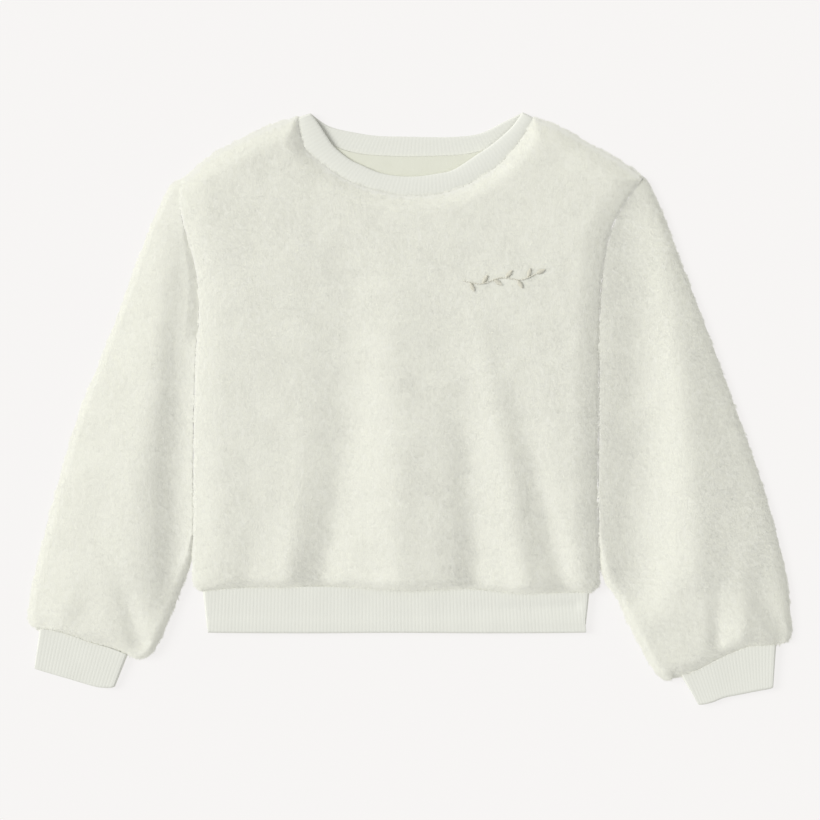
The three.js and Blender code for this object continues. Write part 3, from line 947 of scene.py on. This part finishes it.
@dataclass(frozen=True)
class Fringe:
    """Hairs along a piece's edge that reach out over what lies beside it, in small tufts."""

    name: str
    seed: int
    per_length: float = 9
    reach: float = 3.2
    depth: float = 2.2
    rise: float = 1.0
    width: float = 0.9
    tuft: float = 5
    clear: float = 4.0

    def build(
        self, rim: np.ndarray, material: bpy.types.Material, bare: Optional[np.ndarray] = None
    ) -> bpy.types.Object:
        """Plants the hairs along a closed rim.

        A root lies up to depth inside the rim, higher the further in, and its hair runs outwards,
        square to the rim. Its length follows soft lumps along the rim, so that tufts form.

        Args:
            rim: x, y and z of points round the edge, anticlockwise in plan.
            material: the pile's finish.
            bare: plan points near which no hair is planted, such as a seam.

        Returns:
            The piece.
        """
        rng = np.random.default_rng(self.seed)
        closed = np.concatenate([rim, rim[:1]])
        steps = np.linalg.norm(np.diff(closed, axis=0), axis=1)
        length = np.concatenate([[0], np.cumsum(steps)])
        count = int(length[-1] * self.per_length)
        spots = rng.random(count) * length[-1]
        edge, ahead, behind = (
            np.stack([np.interp(places, length, closed[:, axis]) for axis in range(3)], axis=-1)
            for places in (spots, (spots + 2.5) % length[-1], (spots - 2.5) % length[-1])
        )
        run = ahead - behind
        outward = unit(np.stack([run[:, 1], -run[:, 0], np.zeros(count)], axis=-1))
        inside = rng.random(count) * self.depth
        roots = edge - outward * inside[:, None]
        roots[:, 2] += self.rise * np.sqrt(inside / self.depth) - 0.2 + 0.8 * (rng.random(count) - 0.5)
        tufts = 0.8 + 0.55 * soft_noise(roots[:, :2], self.tuft, self.seed + 1)
        reach = self.reach * tufts * rng.uniform(0.6, 1.1, count)
        way = outward + np.array([0, 0, 0.12]) + 0.28 * rng.standard_normal((count, 3))
        along = np.stack([-outward[:, 1], outward[:, 0]], axis=-1)
        way[:, :2] += 0.5 * along * soft_noise(roots[:, :2], self.tuft, self.seed + 2)[:, None]
        tips = roots + unit(way) * (reach + 0.6 * inside)[:, None]
        tips[:, 2] = np.maximum(tips[:, 2] - 0.5 * rng.random(count), 0.2)
        half = 0.5 * self.width * unit(np.cross(tips - roots, (0, 0, 1))) * rng.uniform(0.7, 1.2, (count, 1))
        lying = np.abs(unit(tips - roots)[:, 2]) < 0.7
        if bare is not None:
            lying &= ~close_to(roots[:, :2], bare, self.clear)
        roots, tips, half = roots[lying], tips[lying], half[lying]
        up = unit(outward[lying] * 0.4 + np.array([0, 0, 1.0]))
        bend = unit(up + 0.05 * rng.standard_normal((len(roots), 3)))
        return hair_mesh(self.name, roots - half, roots + half, tips, bend, material)


def rim_of(grid: np.ndarray) -> np.ndarray:
    """A grid's entries round its rim, anticlockwise where its rows run up and its columns right."""
    return np.concatenate([grid[0, :-1], grid[:-1, -1], grid[-1, :0:-1], grid[:0:-1, 0]])


def thin_shell(
    name: str,
    outer: np.ndarray,
    inner: np.ndarray,
    materials: Sequence[bpy.types.Material],
    slots: Sequence[int],
    tube: bool,
) -> bpy.types.Object:
    """A wall between two grids: a sheet closed round its rim, or a tube closed at both ends.

    Args:
        name: the piece's name.
        outer: rows by columns by x, y and z of a sheet's upper face, or of a tube's rings from its
            upper end down.
        inner: the same of the lower or inner face.
        materials: its materials.
        slots: material number of the outer face, the inner face and the rim or ends.
        tube: whether the last column joins the first.

    Returns:
        The piece.
    """
    rows, columns = outer.shape[:2]
    size = rows * columns
    numbers = np.arange(size).reshape(rows, columns)
    ring = rim_of(numbers)
    first, last = numbers[0], numbers[-1]
    ends = np.concatenate([ring_faces(first, first + size), ring_faces(last + size, last)])
    faces = [
        grid_faces(rows, columns, 0, tube, tube),
        grid_faces(rows, columns, size, tube, not tube),
        ends if tube else ring_faces(ring + size, ring),
    ]
    places = np.concatenate([outer.reshape(-1, 3), inner.reshape(-1, 3)])
    return make_mesh(name, places, faces, materials, slots)


def dress_cloth(made: bpy.types.Object, normals: np.ndarray) -> None:
    """Shades a shell's first vertices with their pile's normals and gives all of them one darker tone,
    painted shade of the cloth under the hairs.

    Args:
        made: the shell.
        normals: outward normals of its first vertices; the rest keep their own.
    """
    # One tone for the whole shell, towards the root colour: painted shade beneath the pile
    set_attribute(made, "tip", np.full(len(made.data.vertices), SHADED_CLOTH_TONE))
    shown = np.zeros((len(made.data.vertices), 3))
    shown[: normals.size // 3] = nap_normals(normals).reshape(-1, 3)
    made.data.normals_split_custom_set_from_vertices(shown.tolist())


def lumps(points: np.ndarray, seed: int) -> np.ndarray:
    """The small unevenness of brushed fleece, in millimetres."""
    return 0.16 * soft_noise(points, 24, seed) + 0.07 * soft_noise(points, 9, seed + 1)


def set_attribute(made: bpy.types.Object, name: str, values: np.ndarray) -> None:
    """Gives a piece a number at each vertex."""
    made.data.attributes.new(name, "FLOAT", "POINT")
    made.data.attributes[name].data.foreach_set("value", values.astype(np.float32).ravel())


@dataclass(frozen=True)
class Sprig:
    """A small leafy sprig sewn on the chest in matt thread, each stitch a plump little bar."""

    finishes: Finishes
    name: str = "chest_sprig"
    stem: Rows = ((66, 352), (84, 349), (104, 355), (124, 353), (139, 359))
    leaves: tuple[float, ...] = (0.1, 0.26, 0.42, 0.58, 0.74, 0.88)
    leaf_length: float = 10
    leaf_width: float = 4.6
    turn: float = math.radians(52)
    radius: float = 0.5
    rise: float = 1.3
    step: float = 0.85
    stem_stitches: int = 28
    sides: int = 6

    def stitches(self) -> np.ndarray:
        """Start and end of every stitch in the plan: long ones down the stem, short ones across leaves.

        A leaf's stitches lie square to its axis, and their length follows the sine of the share
        along it.
        """
        curve = Curve(self.stem)
        spots = np.linspace(0, 1, self.stem_stitches + 1)
        found = [np.stack([curve.at(spots[:-1]), curve.at(spots[1:] + 0.006)], axis=1)]
        for i, share in enumerate((*self.leaves, 1.0)):
            root = curve.at(np.array([share]))[0]
            ahead = unit(root - curve.at(np.array([share - 0.03]))[0])
            angle = 0.0 if share == 1 else self.turn * (1 if i % 2 else -1)
            axis = np.array([[math.cos(angle), -math.sin(angle)], [math.sin(angle), math.cos(angle)]]) @ ahead
            along = np.arange(1, self.leaf_length, self.step)
            half = 0.5 * self.leaf_width * np.sin(math.pi * along / (self.leaf_length + 0.5))
            middle = root + along[:, None] * axis
            across = np.array([-axis[1], axis[0]]) * half[:, None]
            found.append(np.stack([middle - across, middle + across], axis=1))
        return np.concatenate(found)

    def build(self, height_at: Callable[[np.ndarray], np.ndarray]) -> bpy.types.Object:
        """Builds the stitches as one mesh of rounded bars.

        Args:
            height_at: gives the height of the cloth under plan points.

        Returns:
            The piece.
        """
        ends = self.stitches()
        stations = np.array([0, 0.12, 0.5, 0.88, 1])
        thick = np.array([0.35, 0.8, 1, 0.8, 0.35]) * self.radius
        arch = np.array([-0.35, 0, 0.15, 0, -0.35])
        centre = ends[:, :1] + (ends[:, 1:] - ends[:, :1]) * stations[None, :, None]
        height = height_at(centre) + self.rise + arch[None]
        run = unit(ends[:, 1] - ends[:, 0])
        side = np.stack([-run[:, 1], run[:, 0]], axis=-1)
        corners = np.arange(self.sides)
        turns = corners * 2 * math.pi / self.sides
        flat = centre[:, :, None] + side[:, None, None] * (thick[:, None] * np.cos(turns))[None, :, :, None]
        level = height[:, :, None] + (thick[:, None] * np.sin(turns))[None]
        places = np.concatenate([flat, level[..., None]], axis=-1)
        size = len(stations) * self.sides
        one = grid_faces(len(stations), self.sides, 0, True, True)
        starts = np.arange(len(ends))[:, None] * size
        walls = (starts[:, :, None] + one[None]).reshape(-1, 4)
        caps = np.concatenate([starts + corners, starts + size - 1 - corners])
        made = make_mesh(self.name, places, [walls, caps], [self.finishes.thread])
        return placed(made)


@dataclass
class Body:
    """The front and back panels, which lie on each other."""

    finishes: Finishes
    cuts: tuple[float, float] = (0.24, 0.76)
    close: tuple[float, ...] = (0, 0.5, 1.2, 2.2, 3.6, 5.2, 7, 9)
    width: float = 400
    height: float = 440
    least_wall: float = 0.3

    def net(self, neck: Rows, columns: int, rows: int) -> tuple[np.ndarray, np.ndarray]:
        """Plan of a panel, set in from its cut edge by the insets.

        Args:
            neck: the panel's neckline.
            columns: even steps across.
            rows: even steps up.

        Returns:
            The net, and its closed outline as one line.
        """
        top = Chain([Curve(SHOULDER_LEFT), Curve(neck), Curve(SHOULDER_RIGHT)], self.cuts)
        across = edged_shares(self.width, self.close, columns)
        up = edged_shares(self.height, self.close, rows)
        for cut in self.cuts:
            across[np.argmin(abs(across - cut))] = cut
        u = (SIDE_INSET + (self.width - 2 * SIDE_INSET) * across) / self.width
        v = (HEM_INSET + (self.height - HEM_INSET - SIDE_INSET) * up) / self.height
        full_u, full_v = np.concatenate([[0], u, [1]]), np.concatenate([[0], v, [1]])
        foot, left, right = Curve(HEM_SEAM), Curve(BODY_LEFT), Curve(BODY_RIGHT)
        whole = stretched_net(
            foot.at(full_u), top.at(full_u), left.at(full_v), right.at(full_v), full_u, full_v
        )
        net = whole[1:-1, 1:-1]
        outline = np.concatenate([net[0], net[:, -1], net[-1, ::-1], net[::-1, 0]])
        return net, outline

    def build(self) -> None:
        """Builds both panels with their pile, and the stitches on the chest."""
        self.front()
        self.back()

    def front(self) -> None:
        """The front panel: its shell at the pile's foot, the pile in two pieces, and the stitches."""
        net, _ = self.net(FRONT_NECK, 140, 150)
        edges = self.edges(net)
        height = upper_height(net, edges, BODY_FOLDS, BODY_TOP) + lumps(net, 5)
        foot = FLEECE_WALL + LAY_GAP
        upper = raised(net, np.maximum(height - PILE_DEPTH, foot + self.least_wall))
        lower = raised(net, np.maximum(foot, height - FLEECE_WALL))
        fleece, backing = self.finishes.fleece, self.finishes.backing
        shell = thin_shell("front_cloth", upper, lower, [fleece, backing], (0, 1, 0), False)
        dress_cloth(shell, Patch(upper).normals())
        middle = len(upper) // 2
        sprig = Sprig(self.finishes)
        sewn = sprig.stitches().mean(axis=1)
        pile = [
            Pile("front_pile_low", seed=11).build(Patch(upper[: middle + 1]), fleece),
            Pile("front_pile_high", seed=12).build(Patch(upper[middle:]), fleece, sewn),
            Fringe("front_fringe", seed=14).build(rim_of(upper), fleece),
        ]
        placed(shell, ["front_panel"])
        sprig.build(lambda points: upper_height(points, edges, BODY_FOLDS, BODY_TOP) - PILE_DEPTH)

    def edges(self, net: np.ndarray) -> list[Edge]:
        """The front's edges: broad slopes at both sides, short ones at the hem and the neck."""
        cut = [int(share * (net.shape[1] - 1)) for share in self.cuts]
        top = net[-1]
        shoulder = (20, 3.4, 4.2, 5)
        return [
            Edge(net[:, 0], 30, 2.2, 0, 1),
            Edge(net[:, -1], 26, 2.6, 0, 1),
            Edge(net[0], 10, 2, 2.6, 4),
            Edge(top[: cut[0] + 1], *shoulder),
            Edge(top[cut[0] : cut[1] + 1], 16, 3, 1.4, 3),
            Edge(top[cut[1] :], *shoulder),
        ]

    def back(self) -> None:
        """The back panel: its smooth inside up, its pile pressed flat below."""
        net, outline = self.net(BACK_NECK, 80, 84)
        upper = raised(net, FLEECE_WALL + 0.1 * soft_noise(net, 20, 7))
        lower = raised(net, CLOTH_FOOT + under_height(net, outline))
        fleece, backing = self.finishes.fleece, self.finishes.backing
        shell = thin_shell("back_cloth", upper, lower, [backing, fleece], (0, 1, 1), False)
        dress_cloth(shell, np.zeros((0, 3)))
        under = Pile("back_pile", per_square=0.9, length=3.6, seed=13)
        pile = under.build(Patch(lower[4:-4, -5:3:-1]), fleece)
        placed(shell, ["back_panel"])


class Side(Enum):
    """The side of the body that a sleeve lies on, as the picture shows it."""

    LEFT = -1
    RIGHT = 1


@dataclass(frozen=True)
class Slopes:
    """Reach, drop, lip and turn of a sleeve's left side, cuff end, right side and armhole."""

    left: tuple[float, float, float, float]
    cuff: tuple[float, float, float, float]
    right: tuple[float, float, float, float]
    armhole: tuple[float, float, float, float]


@dataclass
class Sleeve:
    """A full sleeve, pressed flat: one tube of fleece from the armhole to the cuff."""

    finishes: Finishes
    name: str
    side: Side
    armhole: Curve
    left_edge: Curve
    right_edge: Curve
    cuff_seam: Curve
    folds: Sequence[Fold]
    slopes: Slopes
    seed: int
    length: float = 430
    width: float = 130
    close: tuple[float, ...] = (0, 0.25, 0.8, 1.7, 3, 4.8, 6.8, 9)
    close_down: tuple[float, ...] = (0, 0.6, 1.4, 2.6, 4.2, 6.2, 9)
    turn: float = 7
    turn_by_body: float = 0.8
    free_below: tuple[float, float] = (60, 110)
    underarm: float = 85

    def build(self) -> None:
        """Builds the sleeve's shell, its pile and its fringe.

        Its sides come down to the middle of the wall in a quarter round, a small one beside the
        body, where the rim is shaded as the cloth next to it and bears no fringe.
        """
        stations = edged_shares(self.length, self.close_down, 96)
        over = edged_shares(self.width, self.close, 44)
        below = edged_shares(self.width, (0, 1.2, 4, 8), 16)[1:-1][::-1]
        inset = SIDE_INSET / self.width
        v = (SIDE_INSET + (self.length - SIDE_INSET - HEM_INSET) * stations) / self.length
        edges = self.edges()
        outline = np.concatenate([edge.line for edge in edges])
        top = self.plan(inset + (1 - 2 * inset) * over, v)
        foot = self.plan(inset + (1 - 2 * inset) * below, v)
        beside = 1 - over if self.side is Side.LEFT else over
        high = ease(top[..., 1], *self.free_below)
        near_body = ease(1 - beside, 0.4, 0.8)[None, :] * high
        height = upper_height(top, edges, self.folds, SLEEVE_TOP) + lumps(top, self.seed + 5)
        edge = FLEECE_WALL + LAY_GAP / 2
        rim_distance = np.minimum(over, 1 - over)[None, :] * self.width
        turn = self.turn - (self.turn - self.turn_by_body) * near_body
        level = edge + (height - PILE_DEPTH - edge) * round_off(rim_distance, turn)
        below_height = CLOTH_FOOT + under_height(foot, outline)
        outer = np.concatenate([raised(top, level), raised(foot, below_height)], axis=1)
        wall = FLEECE_WALL - PILE_DEPTH
        span = np.linalg.norm(top[:, -1] - top[:, 0], axis=1)[:, None, None]
        inner_top, inner_foot = drawn_in(top, top, 2 * wall / span), drawn_in(foot, top, 2 * wall / span)
        lining = raised(inner_top, np.maximum(edge, level - wall)), raised(inner_foot, FLEECE_WALL)
        fleece = self.finishes.fleece
        materials = [fleece, self.finishes.backing]
        inner = np.concatenate(lining, axis=1)
        shell = thin_shell(f"{self.name}_cloth", outer, inner, materials, (0, 1, 0), True)
        patch = Patch(outer[::-1], closed=True)
        normals = patch.normals()[::-1]
        column = len(over) - 6 if self.side is Side.LEFT else 5
        hold = ((beside < beside[column]) * high)[..., None]
        normals[:, : len(over)] = unit(normals[:, : len(over)] * (1 - hold) + normals[:, [column]] * hold)
        dress_cloth(shell, normals)
        pile = Pile(f"{self.name}_pile", seed=self.seed).build(patch, fleece)
        placed(shell, [self.name])
        body_side = top[:, -1 if self.side is Side.LEFT else 0]
        seam = np.concatenate([top[0], body_side[body_side[:, 1] > self.underarm]])
        rim = rim_of(raised(top, level)[::-1, 2:-2])
        fringe = Fringe(f"{self.name}_fringe", self.seed + 3).build(rim, fleece, seam)

    def plan(self, across: np.ndarray, down: np.ndarray) -> np.ndarray:
        """Net of the sleeve at shares across it and down it."""
        order = slice(None, None, -1 if across[0] > across[-1] else 1)
        full_u = np.concatenate([[0], across[order], [1]])
        full_v = np.concatenate([[0], down, [1]])
        ends = self.armhole.at(full_u), self.cuff_seam.at(full_u)
        sides = self.left_edge.at(full_v), self.right_edge.at(full_v)
        return stretched_net(*ends, *sides, full_u, full_v)[1:-1, 1:-1][:, order]

    def edges(self) -> list[Edge]:
        """The sleeve's edges, set in as its shell is: left, cuff end, right and armhole, in a round."""
        share = np.linspace(SIDE_INSET / self.length, 1 - HEM_INSET / self.length, 90)
        across = np.linspace(SIDE_INSET / self.width, 1 - SIDE_INSET / self.width, 40)
        sides = self.plan(across[[0, -1]], share)
        ends = self.plan(across, share[[0, -1]])
        return [
            Edge(sides[:, 0], *self.slopes.left),
            Edge(ends[1], *self.slopes.cuff),
            Edge(sides[::-1, 1], *self.slopes.right),
            Edge(ends[0][::-1], *self.slopes.armhole),
        ]


def drawn_in(points: np.ndarray, over: np.ndarray, share: Union[np.ndarray, float]) -> np.ndarray:
    """Plan points drawn towards the middle of their row by a share of their distance from it."""
    middle = 0.5 * (over[:, :1] + over[:, -1:])
    return middle + (points - middle) * (1 - share)


def armhole_of(edge: Rows, underarm: Sequence[float], tip: Sequence[float], side: Side) -> Curve:
    """Armhole seam of a sleeve: the body's edge above the underarm, set off by the seam's gap."""
    points = Curve(edge).at(np.linspace(0, 1, 81))
    points = points[(points[:, 1] > underarm[1] + 12) & (points[:, 1] < tip[1] - 6)]
    points = points[::-1][::4] + (ARMHOLE_GAP * side.value, 0)
    rows = np.vstack([[tip], points, [underarm]])
    return Curve(rows if side is Side.LEFT else rows[::-1])


def strip_plan(seam: Curve, end: Curve, across: np.ndarray, along: np.ndarray) -> np.ndarray:
    """Net between a band's seam and its free edge, straight along each rib."""
    start, stop = seam.at(across)[None], end.at(across)[None]
    return start + (stop - start) * along[:, None, None]


def rib_wave(along: np.ndarray, count: float) -> np.ndarray:
    """Height of the ribs from 0 to 1: rounded crowns with narrow grooves between them.

    With s the share along and n the count, it is the square root of (1 - cos(2 pi n s)) / 2.
    """
    return np.sqrt(np.clip(0.5 - 0.5 * np.cos(2 * math.pi * count * along), 0, 1))


@dataclass
class RibBand:
    """A rib band folded double and pressed flat: the hem band and both cuffs."""

    finishes: Finishes
    name: str
    seam: Curve
    end: Curve
    folds: Sequence[Fold]
    seed: int
    per_rib: int = 8
    depth: float = 0.13
    rows: int = 26
    tall: float = 44
    seam_rise: float = 1.6
    side_turn: float = 3.4
    end_turn: float = 2.4
    under_turn: float = 3
    under_rise: float = 0.5
    foot: float = 0.1
    rim_wall: float = 1.0

    def build(self) -> None:
        """Builds the band as one closed tube wall with its ribs raised on the upper layer."""
        width = self.seam.length
        count = round(width / RIB_PITCH)
        over = np.linspace(0, 1, count * self.per_rib + 1)
        below = np.linspace(1, 0, count * 2 + 1)[1:-1]
        down = np.concatenate([[0, 0.02, 0.05], np.linspace(0.1, 0.93, self.rows), [0.955, 0.975, 0.99, 1]])
        top, foot = (strip_plan(self.seam, self.end, across, down) for across in (over, below))
        lift = self.seam_rise * (1 - down)[:, None] ** 1.5
        base = RIB_WALL + LAY_GAP + lift
        side = round_off(np.minimum(over, 1 - over) * width, self.side_turn)[None, :]
        swell = np.maximum(fold_rise(top, self.folds) + BAND_SWELL + 0.25 * soft_noise(top, 22, self.seed), 0)
        turn = round_off((1 - down) * self.tall + 0.05, self.end_turn)[:, None]
        sway = 0.85 + 0.15 * soft_noise(top, 14, self.seed + 1)
        ribs = rib_wave(over, count)[None, :] * self.depth * sway * side
        crown = base + self.rim_wall + (RIB_WALL - self.rim_wall + swell) * side * turn + ribs
        middle = RIB_WALL + LAY_GAP / 2 + lift / 2
        under = self.under_rise * (1 - round_off(np.minimum(below, 1 - below) * width, self.under_turn))
        tops = raised(top, np.where(side == 0, middle, crown))
        outer = np.concatenate([tops, raised(foot, under + self.foot)], axis=1)
        inner_top, inner_foot = (drawn_in(net, top, 2 * RIB_WALL / width) for net in (top, foot))
        ceiling = np.maximum(base, crown - ribs - RIB_WALL)
        inner = np.concatenate([raised(inner_top, ceiling), raised(inner_foot, RIB_WALL)], axis=1)
        made = thin_shell(f"{self.name}_knit", outer, inner, [self.finishes.rib], (0, 0, 0), True)
        # The rib wave, 0 in the grooves, tells the finish where to paint shade
        wave = np.concatenate([rib_wave(over, count), rib_wave(below, count)])
        set_attribute(made, "rib", np.tile(wave, 2 * len(down)))
        placed(made, [self.name])


@dataclass
class Neckband:
    """One rib strip round the neck, folded double, turned over at both shoulders."""

    finishes: Finishes
    name: str = "neckband"
    per_rib: int = 6
    depth: float = 0.1
    tall: float = 20
    arch: float = 0.9
    edge_turn: float = 2.2
    shoulder_turn: float = 3.0
    foot: float = 0.1
    rim_wall: float = 0.9
    rim_foot: float = 0.4

    def build(self) -> None:
        """Builds the ring: its front half on top and its back half below, ribbed on both faces."""
        front = (Curve(FRONT_NECK), Curve(FRONT_NECK_TOP))
        back = (Curve(BACK_NECK), Curve(BACK_NECK_TOP))
        count, behind = round(front[1].length / RIB_PITCH), round(back[1].length / RIB_PITCH)
        over = np.linspace(0, 1, count * self.per_rib + 1)
        below = np.linspace(1, 0, behind * self.per_rib + 1)[1:-1]
        up = np.concatenate([[1, 0.99, 0.97, 0.94], np.linspace(0.88, 0.1, 12), [0.05, 0]])
        top, foot = strip_plan(*front, over, up), strip_plan(*back, below, up)
        arch = self.arch * np.sin(math.pi * up)[:, None] ** 0.8
        edge = round_off((1 - up) * self.tall + 0.05, self.edge_turn)[:, None]
        fold_down = round_off(np.minimum(over, 1 - over) * front[0].length, self.shoulder_turn)[None, :]
        level = FLEECE_WALL - RIB_WALL + self.foot
        base = RIB_WALL + LAY_GAP + (level + arch) * fold_down
        ribs = rib_wave(over, count)[None, :] * self.depth
        crown = base + self.rim_wall + (RIB_WALL - 0.2 - self.rim_wall) * edge + ribs * fold_down
        back_ribs = rib_wave(below, behind)[None, :] * self.depth
        ceiling = self.rim_foot + (RIB_WALL - self.rim_foot) * edge + back_ribs
        outer = np.concatenate([raised(top, crown), raised(foot, self.foot)], axis=1)
        inner = np.concatenate([raised(top, base), raised(foot, ceiling)], axis=1)
        made = thin_shell(f"{self.name}_knit", outer, inner, [self.finishes.rib], (0, 0, 0), True)
        # The rib wave, 0 in the grooves, tells the finish where to paint shade
        wave = np.concatenate([rib_wave(over, count), rib_wave(below, behind)])
        set_attribute(made, "rib", np.tile(wave, 2 * len(up)))
        placed(made, [self.name])


@dataclass(frozen=True)
class Stage:
    """The floor, the soft studio light and the camera straight above."""

    half: float = 3000
    floor_level: float = -0.4
    sun: float = 2.12
    sun_angle: float = math.radians(30)
    sun_from: tuple[float, float, float] = (-2.8, 0.7, 2.2)
    surround: float = 0.56
    lens: float = 150.0
    sensor: float = 36.0
    across: float = 0.82
    above: tuple[float, float, float] = (-0.0003, -0.0015, 0.007)

    def build(self) -> None:
        """Sets the stage round the garment."""
        self.floor()
        self.light()
        self.camera()

    def floor(self) -> None:
        """A plain pale floor a hair's breadth below the cloth."""
        corners = self.half * np.array([[-1, -1], [1, -1], [1, 1], [-1, 1]])
        places = raised(corners, self.floor_level)
        make_mesh("floor", places, [np.array([[0, 1, 2, 3]])], [FloorFinish().material()])

    def light(self) -> None:
        """A broad distant light at the upper left over an even pale surround."""
        lamp = bpy.data.lights.new("window", "SUN")
        lamp.energy = self.sun
        lamp.angle = self.sun_angle
        made = bpy.data.objects.new("window", lamp)
        made.location = self.sun_from
        made.rotation_mode = "QUATERNION"
        made.rotation_quaternion = Vector(made.location).to_track_quat("Z", "Y")
        bpy.context.scene.collection.objects.link(made)
        world = bpy.data.worlds.new("surround")
        world.use_nodes = True
        pale = world.node_tree.nodes["Background"]
        pale.inputs["Color"].default_value = (1, 1, 1, 1)
        pale.inputs["Strength"].default_value = self.surround
        bpy.context.scene.world = world

    def camera(self) -> None:
        """A long lens straight above, with 820 mm of the surface across its picture."""
        camera = bpy.data.cameras.new("above")
        camera.lens, camera.sensor_width = self.lens, self.sensor
        camera.clip_start, camera.clip_end = 0.05, 50
        made = bpy.data.objects.new("above", camera)
        x, y, level = self.above
        made.location = (x, y, level + self.across * self.lens / self.sensor)
        bpy.context.scene.collection.objects.link(made)
        bpy.context.scene.camera = made


def main() -> None:
    """Builds the pullover and its stage."""
    logging.basicConfig(level=logging.INFO, format="%(name)s %(message)s")
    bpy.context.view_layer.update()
    finishes = Finishes(
        fleece=FleeceFinish().material(),
        backing=BackingFinish().material(),
        rib=RibFinish().material(),
        thread=ThreadFinish().material(),
    )
    Stage().build()
    Body(finishes).build()
    by_body = (4, 0, 0, 1)
    cuff_end = (14, 2.2, 2.6, 4)
    Sleeve(
        finishes,
        "sleeve_left",
        Side.LEFT,
        armhole_of(BODY_LEFT, (-199, 298), (-215, 455), Side.LEFT),
        Curve(SLEEVE_LEFT_OUTER),
        Curve(SLEEVE_LEFT_INNER),
        Curve(CUFF_LEFT_SEAM),
        SLEEVE_LEFT_FOLDS,
        Slopes(left=(80, 4, 2.8, 5), cuff=cuff_end, right=by_body, armhole=(16, 1.6, 0, 1)),
        21,
    ).build()
    Sleeve(
        finishes,
        "sleeve_right",
        Side.RIGHT,
        armhole_of(BODY_RIGHT, (203, 298), (247, 457), Side.RIGHT),
        Curve(SLEEVE_RIGHT_INNER),
        Curve(SLEEVE_RIGHT_OUTER),
        Curve(CUFF_RIGHT_SEAM),
        SLEEVE_RIGHT_FOLDS,
        Slopes(left=by_body, cuff=cuff_end, right=(75, 4, 2.8, 5), armhole=by_body),
        31,
    ).build()
    RibBand(finishes, "hem_band", Curve(HEM_SEAM), Curve(HEM_END), HEM_FOLDS, 41).build()
    RibBand(finishes, "cuff_left", Curve(CUFF_LEFT_TOP), Curve(CUFF_LEFT_END), (), 43).build()
    RibBand(finishes, "cuff_right", Curve(CUFF_RIGHT_TOP), Curve(CUFF_RIGHT_END), (), 45).build()
    Neckband(finishes).build()
    bpy.context.scene.view_settings.view_transform = "Standard"


if __name__ == "__main__":
    main()
